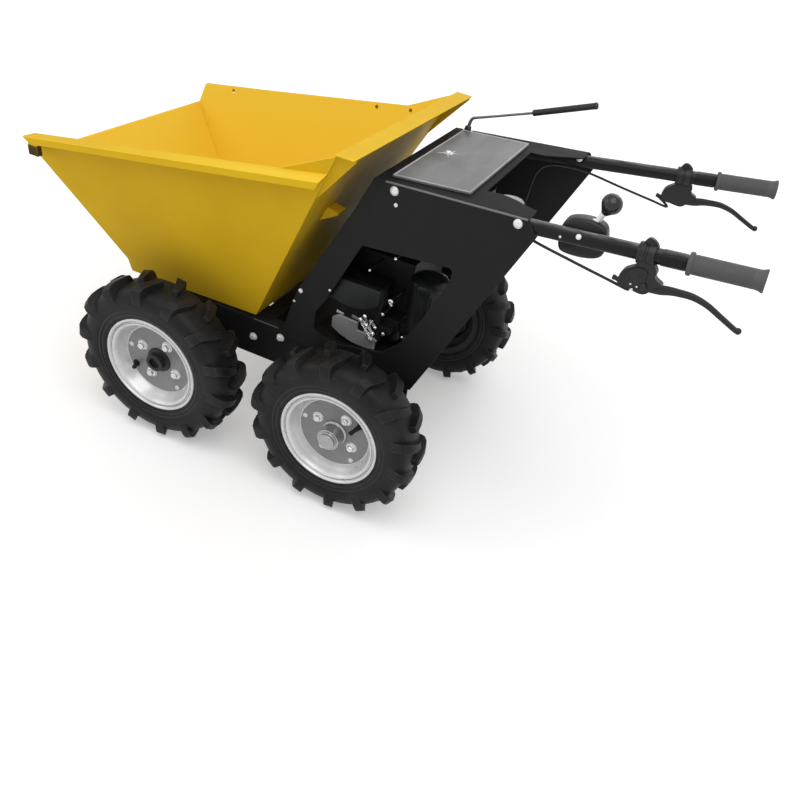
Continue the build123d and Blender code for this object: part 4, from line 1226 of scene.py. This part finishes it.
# ------------------------------------------------------------------------------------------ engine
@dataclass
class Engine:
    """The single-cylinder engine and what hangs on it."""

    fan_x: float = -8
    crank_z: float = 462
    cover_radius: float = 136.5
    cover_y: Pair = (100.4, 170.2)
    cover_x: Pair = (-44, 70)
    foot_top: float = 387
    foot_depth: float = 6
    cleaner_at: Pair = (-132, 116)
    cleaner_z: Pair = (386, 520)
    cleaner_radius: float = 42
    flutes: int = 24
    # along the machine, sideways, height, size over the flats, radius of the post
    nuts: tuple[tuple[float, ...], ...] = ((-66, 171, 466, 7.2, 4), (-52, 172, 429, 4.6, 3), (-60, 172, 381, 5.6, 4),
                                           (-5, 166, 519, 3.2, 2.4), (-60, 166, 566, 3.6, 2.4),
                                           (-66, 166, 455, 4.2, 2.4), (-101, 160, 383, 3.8, 2.6),
                                           (-108, 158, 381, 2.6, 2))
    # how many there are, where the first starts and how far the next one is
    fins: tuple[int, float, float] = (9, 548, 7)
    louvres: tuple[int, float, float] = (5, 538, 20)
    # rows and columns of the guard's holes, and how far apart they are
    guard_grid: tuple[int, int] = (4, 6)
    guard_pitch: Pair = (13.5, 22)

    def arc(self, first: float, last: float, steps: int = 18) -> list[Pair]:
        """Points on the cover's round foot between two places along the machine."""
        places = (first + (last - first) * i / steps for i in range(steps + 1))
        return [(x, self.crank_z - math.sqrt(self.cover_radius ** 2 - (x - self.fan_x) ** 2)) for x in places]

    def build_cover(self) -> None:
        """The fan cover: bright round foot with its notch, the dark body behind it and the dark shell above."""
        rear, front = self.cover_x
        inner, outer = self.cover_y
        top, face = self.foot_top, outer - self.foot_depth
        outline = [*self.arc(front, rear + 2), (rear + 2, top - 32), (-19, top - 32), (-19, top - 23), (5, top - 23),
                   (5, top - 3), (front - 15, top), (front, top - 12)]
        back = [*((x, z + 3) for x, z in self.arc(front - 3, rear + 5)), (rear + 5, top - 30), (front - 3, top - 16)]
        shell = [(front - 1, top - 14), (rear, top - 31), (rear, self.crank_z + 20), (front - 1, self.crank_z + 20)]
        for name, shape, start, end, finish, edge, node in (
                ("fan_cover_foot", outline, face, outer, ENGINE_SILVER, 1.4, "engine_fan_cover"),
                ("fan_cover_back", back, inner, face, ENGINE_DARK, 1.4, "engine_fan_cover"),
                ("fan_cover_shell", shell, inner, outer - 5, ENGINE_DARK, 3, "")):
            place = SIDE_VIEW @ Matrix.Translation((0, 0, start))
            Form().prism(place, shape, end - start).piece(name, finish, edge=edge, stands_for=node)

    def build_linkage(self) -> None:
        """Governor arm, throttle rods, spring and screws beside the cover's notch."""
        y = self.cover_y[1]
        bits = Form()

        def strip(points: Sequence[Pair], width: float, at: float, thick: float) -> None:
            """A flat arm through points in side view.

            Args:
                points: the points.
                width: how wide it is.
                at: where its inner face is along Y.
                thick: how thick it is.
            """
            for (x0, z0), (x1, z1) in zip(points, points[1:]):
                run = Vector((x1 - x0, 0, z1 - z0)).normalized()
                across = Vector((-run.z, 0, run.x)) * (width / 2)
                a, b = Vector((x0, at, z0)) - run * width * 0.3, Vector((x1, at, z1)) + run * width * 0.3
                deep = Vector((0, thick, 0))
                bits.skin([[a - across, a + across, a + across + deep, a - across + deep],
                           [b - across, b + across, b + across + deep, b - across + deep]])

        for points, width, at, thick in (([(-3, 397), (-19, 390), (-35, 373)], 7, 2, 2),
                                         ([(-13, 411), (-21, 392), (-17, 373)], 5, 5, 2),
                                         ([(-22, 360), (-40, 351)], 13, -3, 4), ([(-26, 404), (-40, 392)], 6, 4, 2),
                                         ([(20, 396), (3, 392)], 6, -3, 3), ([(44, 392), (58, 394)], 6, -3, 3)):
            strip(points, width, y + at, thick)
        coil = [Vector((-9 - 26 * t, y + 9, 393 - 30 * t))
                + Vector((0.71 * math.cos(t * 56.5), math.sin(t * 56.5), 0.62 * math.cos(t * 56.5))) * 3.2
                for t in (i / 90 for i in range(91))]
        bits.tube(coil, 0.8, 6)
        bits.tube(eased([Vector((x, y + d, z)) for x, d, z in
                         ((-33, 6, 408), (-28, 8, 396), (-30, 9, 380), (-21, 7, 357))]), 1.4, 8)
        for x, d, z, across in ((-3, 4, 397, 7), (-19, 7, 390, 6), (-35, 4, 373, 7), (-13, 7, 411, 6), (-31, 1, 355, 8),
                                (-40, 6, 392, 5)):
            bits.hexbolt(Vector((x, y + d, z)), OUT, across, 11.0 * x)
        bits.piece("engine_linkage", POLISHED, edge=0.25)

    def build_fittings(self) -> None:
        """Nuts on their posts, seen through the side opening."""
        nuts, posts = Form(), Form()
        for x, y, z, across, radius in self.nuts:
            foot = Vector((x, y, z))
            nuts.hexbolt(foot, OUT, across, 17.0 + x)
            posts.tube([Vector((x, 100, z)), foot], radius, 12)
        nuts.piece("engine_nuts", POLISHED, edge=0.3)
        posts.piece("engine_studs", ENGINE_DARK, smooth=40.0)

    def build_cleaner(self) -> None:
        """The air cleaner: fluted drum with its lid and inlet, and clips."""
        cx, cy = self.cleaner_at
        low, high = self.cleaner_z
        r = self.cleaner_radius
        drum = Form()
        # height, radius, depth of the flutes
        stations = [(low, r - 6, 0.0), (low + 3, r - 2, 0.0), (low + 10, r, 0.0), (low + 14, r, 1.6),
                    (high - 24, r, 1.6), (high - 20, r, 0.0), (high - 12, r, 0.0), (high - 12, r + 2.4, 0.0),
                    (high - 2, r + 2.8, 0.0), (high + 6, r - 4, 0.0), (high + 9, r - 14, 0.0), (high + 9.5, 9, 0.0),
                    (high + 9.5, TIP, 0.0)]
        rings = []
        for z, radius, flute in stations:
            reaches = [(t, radius - flute * (0.5 - 0.5 * math.cos(t * self.flutes))) for t in circle(3 * self.flutes)]
            rings.append([Vector((cx + reach * math.cos(t), cy + reach * math.sin(t), z)) for t, reach in reaches])
        drum.skin(rings)
        drum.block((cx + 20, 108.5, self.crank_z - 84), (-84.4, 137.5, self.crank_z - 58))
        drum.piece("air_cleaner", ENGINE_BOX, smooth=35.0, stands_for="engine_air_cleaner")
        clips = Form()
        for angle, wide in ((62.0, 5), (88.0, 9), (118.0, 6), (212.0, 7), (300.0, 7)):
            turn = Matrix.Translation((cx, cy, 0)) @ Matrix.Rotation(math.radians(angle), 4, "Z")
            outline = [(high - 20, r + 0.4), (high - 14, r + 3.6), (high - 3, r + 4.6), (high + 1, r + 2.2)]
            rings = [[turn @ Vector((reach, side, z)) for z, reach in
                      [*outline, *[(z, reach - 1.4) for z, reach in reversed(outline)]]]
                     for side in (-wide, wide)]
            clips.skin(rings)
        clips.piece("air_cleaner_clips", ENGINE_BOX, edge=0.4)

    def build_fins(self) -> None:
        """Cooling fins round the cylinder, the louvred shroud and the guard over the silencer."""
        fins = Form()
        count, start, pitch = self.fins
        for z in (start + index * pitch for index in range(count)):
            fins.block((-88, -84, z), (34, 74, z + 2.6))
        fins.piece("cylinder_fins", ENGINE_DARK, edge=0.5)
        shroud = Form()
        shroud.block((-196, -62, 524), (-92, -58, 636))
        count, start, pitch = self.louvres
        for z in (start + index * pitch for index in range(count)):
            shroud.block((-188, -58.4, z), (-100, -55.4, z + 7))
        shroud.piece("engine_shroud", ENGINE_DARK, edge=1.2)
        low, high = cad_box("engine_muffler")
        guard = Form()
        guard.block((low.x - 4, low.y - 5, low.z - 3), (high.x + 4, low.y - 3, high.z + 3))
        rows, columns = self.guard_grid
        rise, step = self.guard_pitch
        for row in range(rows):
            for column in range(columns):
                x, z = low.x + 12 + column * step, low.z + 9 + row * rise
                guard.lathe(standing(Vector((x, low.y - 4.8, z)), Vector((0, -1, 0))),
                            [(0, 5), (1.6, 4.2), (1.6, 2.8), (0.2, 2.2), (0.2, 0)], 14)
        guard.piece("silencer_guard", ENGINE_DARK, edge=0.5)

    def build(self) -> None:
        """Dress the nodes and build the cover, linkage, fittings and air cleaner."""
        for node, finish, edge in (("engine_block", ENGINE_DARK, 2.4), ("engine_fuel_tank", ENGINE_BOX, 2.4),
                                   ("engine_muffler", ENGINE_DARK, 3), ("engine_switch_box", ENGINE_BOX, 3.2),
                                   ("engine_carburettor", ENGINE_DARK, 1.2)):
            dress(finish, edge, node)
        self.build_cover()
        self.build_linkage()
        self.build_fittings()
        self.build_cleaner()
        self.build_fins()
        LOG.info("engine: block, cover, linkage, fittings, air cleaner, fins and silencer")


# ------------------------------------------------------------------------------------------ handles
def squared(wave: float) -> float:
    """A cosine or sine pushed outwards, so that a round section turns squarish."""
    return math.copysign(abs(wave) ** 0.75, wave)


@dataclass
class Handles:
    """Handle tubes, grips, brake levers, cables, gear shifter and skip release."""

    tube_radius: float = 14
    plate_half: float = 221.5
    plate_front: float = -12
    inset: float = 17.3
    splay: float = 0.085
    rise: float = 0.133
    rear_x: float = -331
    rear_z: float = 755.8455
    end_x: float = -749
    grip_length: float = 129
    grip_radius: float = 17.5
    grip_rib: float = 3.1
    clamp_x: float = -550
    lever_offset: float = 8
    blade_half: float = 5.4
    shifter_x: float = -430
    shifter_core: Pair = (-431, 760)
    release_foot: Triple = (-46.5, -204, 746.26025)
    # outlines in the plane of the brake lever, and the blade's route in it with its half heights
    bracket_outline: Outline = ((-11, 4), (-11, -14), (-12, -23), (-20, -28), (-29, -35), (-33, -46), (-33, -60),
                                (-28, -68), (-12, -65), (8, -68), (19, -67), (27, -60), (33, -46), (46, -43),
                                (42, -37), (27, -32), (29, -20), (20, -11), (15, -4), (14, 4))
    cheek_outline: Outline = ((-6, -20), (-24, -38), (-26, -56), (-10, -60), (14, -60), (20, -50), (12, -40), (16, -24))
    ear_outline: Outline = ((-13, 8), (-13, 20), (-5, 31), (10, 25), (17, 14), (14, 4))
    blade_route: Outline = ((16, -52), (28, -52), (45, -49.5), (58, -46), (72, -43.5), (100, -41), (128, -46),
                            (156, -57), (186, -69), (192, -69.6))
    blade_heights: tuple[float, ...] = (10, 9.6, 9.2, 8.0, 7.0, 6.1, 5.2, 4.8, 4.5, 4.4)
    # points of the left cable
    cable_route: tuple[Triple, ...] = ((-540, 248.5, 710), (-500, 245, 714), (-430, 240, 722), (-343.6, 233, 733),
                                       (-300, 212, 738), (-262, 186, 738), (-238, 178, 716), (-228, 184, 650),
                                       (-220, 182, 568), (-208, 177, 488), (-191, 166, 408), (-170, 156, 346),
                                       (-159, 146, 303), (-151, 140.6, 286), (-141, 140, 284))
    # the shifter's housing in side view, and its knob's (height, radius) points
    shifter_outline: Outline = ((-386, 762), (-387, 744), (-391, 727), (-403, 722), (-433, 723), (-457, 728),
                                (-472, 735), (-477, 752), (-472, 778), (-466, 791), (-452, 797), (-426, 797),
                                (-398, 790), (-388, 778))
    knob_profile: Outline = ((23, TIP), (23, 6.8), (24, 7.8), (26, 8.6), (28, 10.4), (32, 13.8), (36, 16.9),
                             (40, 18.8), (44, 19.5), (48, 19.2), (52, 17.9), (56, 15.3), (59, 12.2), (61.2, 8.4),
                             (62.4, 4.2), (62.8, TIP))

    def tube_point(self, x: float, side: Side) -> Vector:
        """A point on a handle tube's centre line."""
        y = self.plate_half + (self.plate_front - x) * self.splay - self.inset
        return side.at(x, y, self.rear_z + (self.rear_x - x) * self.rise)

    def along(self, side: Side) -> Vector:
        """Direction of a handle tube, rearwards."""
        return (self.tube_point(-1.0, side) - self.tube_point(0.0, side)).normalized()

    def tube_place(self, x: float, side: Side) -> Matrix:
        """A place on a tube: its Z rearwards along the tube, its Y up and its X sideways.

        Args:
            x: where it is along the machine.
            side: which tube.

        Returns:
            The place.
        """
        back = self.along(side)
        sideways = UP.cross(back).normalized()
        turn = Matrix((sideways, back.cross(sideways), back)).transposed().to_4x4()
        return Matrix.Translation(self.tube_point(x, side)) @ turn

    def lever_place(self, side: Side) -> Matrix:
        """The brake lever's plane: X rearwards along the handle, Y up and Z outwards.

        Args:
            side: which handle.

        Returns:
            The place.
        """
        at = self.tube_point(self.clamp_x, side) + side.at(0, self.lever_offset, 0)
        back, out = side.at(-1, self.splay, 0).normalized(), side.at(self.splay, 1, 0).normalized()
        return Matrix.Translation(at) @ Matrix((back, UP, out)).transposed().to_4x4()

    def build_grip(self, side: Side) -> None:
        """One grip: collar, finely ribbed sleeve and flared end.

        Args:
            side: which handle.
        """
        length = self.grip_length / math.cos(math.atan(self.rise))
        r, tube = self.grip_radius, self.tube_radius
        place = self.tube_place(self.end_x + self.grip_length, side)
        profile = [(0.2, tube + 0.3), (0.0, r + 1.2), (1.2, r + 2.8), (5.6, r + 3.0), (7.6, r + 2.2), (8.8, r - 0.4)]
        rib = self.grip_rib
        for index in range(int((length - 30) / rib)):
            at = 11 + index * rib
            profile += [(at, r - 0.75), (at + rib * 0.3, r), (at + rib * 0.7, r)]
        end = length - 1.0
        profile += [(end - 15, r - 0.4), (end - 8, r + 0.6), (end - 4, r + 2.4), (end - 1.5, r + 2.9),
                    (end, r + 2.0), (end, r - 3), (end - 1.2, r - 4), (end - 1.2, TIP)]
        Form().lathe(place, profile).piece(f"grip_{side.word}_sleeve", GRIP, smooth=42.0,
                                           stands_for=f"grip_{side.word}")
        place = self.tube_place(self.end_x + self.grip_length + 44, side)
        profile = [(0, tube + 0.1)]
        for index in range(12):
            at = 1 + index * 3.4
            profile += [(at, tube + 0.9), (at + 2.0, tube + 1.1), (at + 2.8, tube + 0.5)]
        Form().lathe(place, [*profile, (43, tube + 0.1)], 40, caps=False).piece(f"grip_{side.word}_wrap", TUBE_BLACK,
                                                                                smooth=50.0)

    def build_brackets(self) -> None:
        """Both brake clamps with their bodies, pinch bolts and cable adjusters."""
        body, metal = Form(), Form()
        for side in Side:
            place = self.tube_place(self.clamp_x + 16, side)
            inner, outer = self.tube_radius + 0.2, self.tube_radius + 5.6
            body.lathe(place, [(0, inner), (0.5, outer - 1), (2.5, outer), (13, outer), (14.5, outer - 1.6),
                               (17.5, outer - 1.6), (19, outer), (29.5, outer), (31.5, outer - 1), (32, inner),
                               (0, inner)], 40, caps=False)
            lever = self.lever_place(side)
            outward = lever.to_3x3() @ UP
            body.prism(lever @ Matrix.Translation((0, 0, -self.lever_offset)), rounded(self.bracket_outline),
                       self.lever_offset * 2)
            body.prism(lever @ Matrix.Translation((0, 0, self.lever_offset - 1)), rounded(self.cheek_outline), 3.4)
            body.prism(lever @ Matrix.Translation((0, 0, -12)), rounded(self.ear_outline), 8)
            body.hexbolt(lever @ Vector((3, 20, -4)), outward, 7, 12.0)
            for form, u, v, radius in ((body, 14, -52, 6.5), (body, -18, -46, 4.5), (body, 4, -33, 3.6),
                                       (metal, -3, -64, 2.6), (metal, -8, -55, 1.8), (metal, 4, -56, 1.8)):
                form.dome(lever @ Vector((u, v, self.lever_offset + 2.2)), outward, radius)
            down = (lever.to_3x3() @ Vector((-1.0, 0.12, 0))).normalized()
            root = lever @ Vector((-28, -60, 0))
            body.lathe(standing(root, down), [(0, 5.4), (4, 5.4), (4.5, 4), (10, 4),
                                              (10.5, 4.8), (15, 4.8), (16, 3.4)], 18)
        body.piece("brake_clamps", LEVER_BLACK, edge=1.8, smooth=34.0, stands_for="brake_brackets")
        metal.piece("brake_clamp_bolts", ZINC, edge=0.3)

    def build_levers(self) -> None:
        """Both brake levers: a thick root, a slim curved blade and a ball end."""
        form = Form()
        heights = self.blade_heights
        for side in Side:
            lever = self.lever_place(side)
            path = eased([Vector((u, v, 0)) for u, v in self.blade_route], 5)
            rings = []
            for i, point in enumerate(path):
                ahead = heading(path, i)
                up = Vector((-ahead.y, ahead.x, 0))
                share = i / (len(path) - 1) * (len(heights) - 1)
                at = min(int(share), len(heights) - 2)
                high = heights[at] + (heights[at + 1] - heights[at]) * (share - at)
                rings.append([lever @ (point + up * high * squared(math.cos(t))
                                       + Vector((0, 0, self.blade_half * squared(math.sin(t))))) for t in circle(16)])
            form.skin(rings)
            end = lever @ Vector((192, -69.4, 0))
            ball = [(-6.2 * math.cos(math.pi * i / 12), 6.2 * math.sin(math.pi * i / 12)) for i in range(13)]
            form.lathe(standing(end, lever.to_3x3() @ Vector((0.9, -0.42, 0))), ball, 24)
        form.piece("brake_blades", LEVER_BLACK, smooth=55.0, stands_for="brake_levers")

    def build_cables(self) -> None:
        """The brake cables, along the handles and down inside the body to the rails' rear member."""
        form = Form()
        for side in Side:
            start = self.lever_place(side) @ Vector((-42, -58.4, 0))
            form.tube(eased([start, *(side.at(*point) for point in self.cable_route)]), 2.7)
        form.piece("brake_cable_sheaths", CABLE_BLACK, smooth=60.0, stands_for="brake_cables")

    def build_shifter(self) -> None:
        """The shifter's housing, its bright stem with the knob, and the clamp bolts."""
        low, high = cad_box("shifter_housing")
        middle_y, deep = (low.y + high.y) / 2, (high.y - low.y) / 2
        outline = rounded(self.shifter_outline)
        core_x, core_z = self.shifter_core
        rings = [[Vector((core_x + (x - core_x) * reach, middle_y + deep * share, core_z + (z - core_z) * reach))
                  for x, z in outline] for share, reach in ((1.0, 0.86), (0.86, 0.96), (0.55, 1.0), (-0.55, 1.0),
                                                            (-0.86, 0.96), (-1.0, 0.86))]
        Form().skin(rings).piece("shifter_shell", LEVER_BLACK, smooth=50.0, stands_for="shifter_housing")
        foot = self.tube_point(self.shifter_x, Side.LEFT) + Vector((-14, -31.8, 22.2))
        place = standing(foot, Vector((-0.4, 0, 1)).normalized())
        Form().lathe(place, [(-6, 10), (1.0, 10.4), (2.4, 9.6), (4, 7.2), (6, 6.0), (8, 5.6), (28, 5.6)],
                     28).piece("shifter_stem", BRIGHT_ZINC, smooth=40.0)
        Form().lathe(place, self.knob_profile).piece("shifter_knob", KNOB_BLACK, smooth=60.0,
                                                     stands_for="shifter_lever")
        bolts = Form()
        # along the tube, tilt of the bolt, how deep its foot is, radius
        for shift, tilt, sink, radius in ((2, 0.45, 0.6, 5), (34, -0.12, 0.8, 2.6)):
            way = (Vector((self.splay, 1, 0)).normalized() + UP * tilt).normalized()
            at = self.tube_point(self.shifter_x + shift, Side.LEFT)
            bolts.dome(at + way * (self.tube_radius - sink), way, radius)
        bolts.piece("shifter_bolts", BRIGHT_ZINC, edge=0.3)

    def build_release(self) -> None:
        """The release lever's bent tapering rod, its sleeve, and the bush and collar it turns in."""
        foot = Vector(self.release_foot)
        bush = [(0, 12), (2.8, 12), (3.8, 11), (4.0, 4)]
        Form().lathe(standing(foot + UP * 0.9, UP), bush, 32).piece("release_bush", BRIGHT_ZINC, smooth=38.0)
        bend = Vector((-143.5, 0, 83.74))
        points = [foot + Vector(step) for step in ((0, 0, 7), (-1.5, 0, 18), (-3.6, 0, 27), (-8, 0, 33.6),
                                                   (-18, 0, 37.6), (-60, 0, 52.9), (-100, 0, 67.7), bend)]
        radii = [4.5 - 1.7 * min(1.0, i / 24) for i in range(36)]
        Form().tube(eased(points, 5), radii, 16).piece("release_rod", DARK_ROD, smooth=60.0, stands_for="release_lever")
        run = Vector((-276.5, 0, 136.74)) - bend
        place = standing(foot + bend - run * 0.01, run.normalized())
        long, thick = run.length * 1.035, 7.6
        profile = [(0, 2), (0, 5), (1.5, thick - 1), (4, thick - 0.3), (8, thick - 0.8), (long - 8, thick - 0.6),
                   (long - 4, thick), (long - 1.6, thick - 0.8), (long, 5), (long, 0)]
        Form().lathe(place, profile, 28).piece("release_sleeve", KNOB_BLACK, smooth=50.0, stands_for="release_grip")
        collar = [(0, 8), (7, 7.8), (8.6, 6.6), (8.6, 3)]
        Form().lathe(standing(foot + UP * 4.6, UP), collar, 28).piece("release_collar", KNOB_BLACK, smooth=38.0)

    def build(self) -> None:
        """Dress the nodes and build the grips, levers, shifter and release."""
        dress(TUBE_BLACK, 0.0, "handle_tube_left", "handle_tube_right")
        for side in Side:
            self.build_grip(side)
        self.build_brackets()
        self.build_levers()
        self.build_cables()
        self.build_shifter()
        self.build_release()
        LOG.info("handles: tubes, grips, clamps, levers, cables, shifter and release")


def main() -> None:
    """Build the studio and every sub-assembly."""
    logging.basicConfig(level=logging.INFO, format="%(message)s")
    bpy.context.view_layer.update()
    Studio().build()
    for assembly in (Skip(), Wheels(), Chassis(), Body(), Engine(), Handles()):
        assembly.build()


if __name__ == "__main__":
    main()
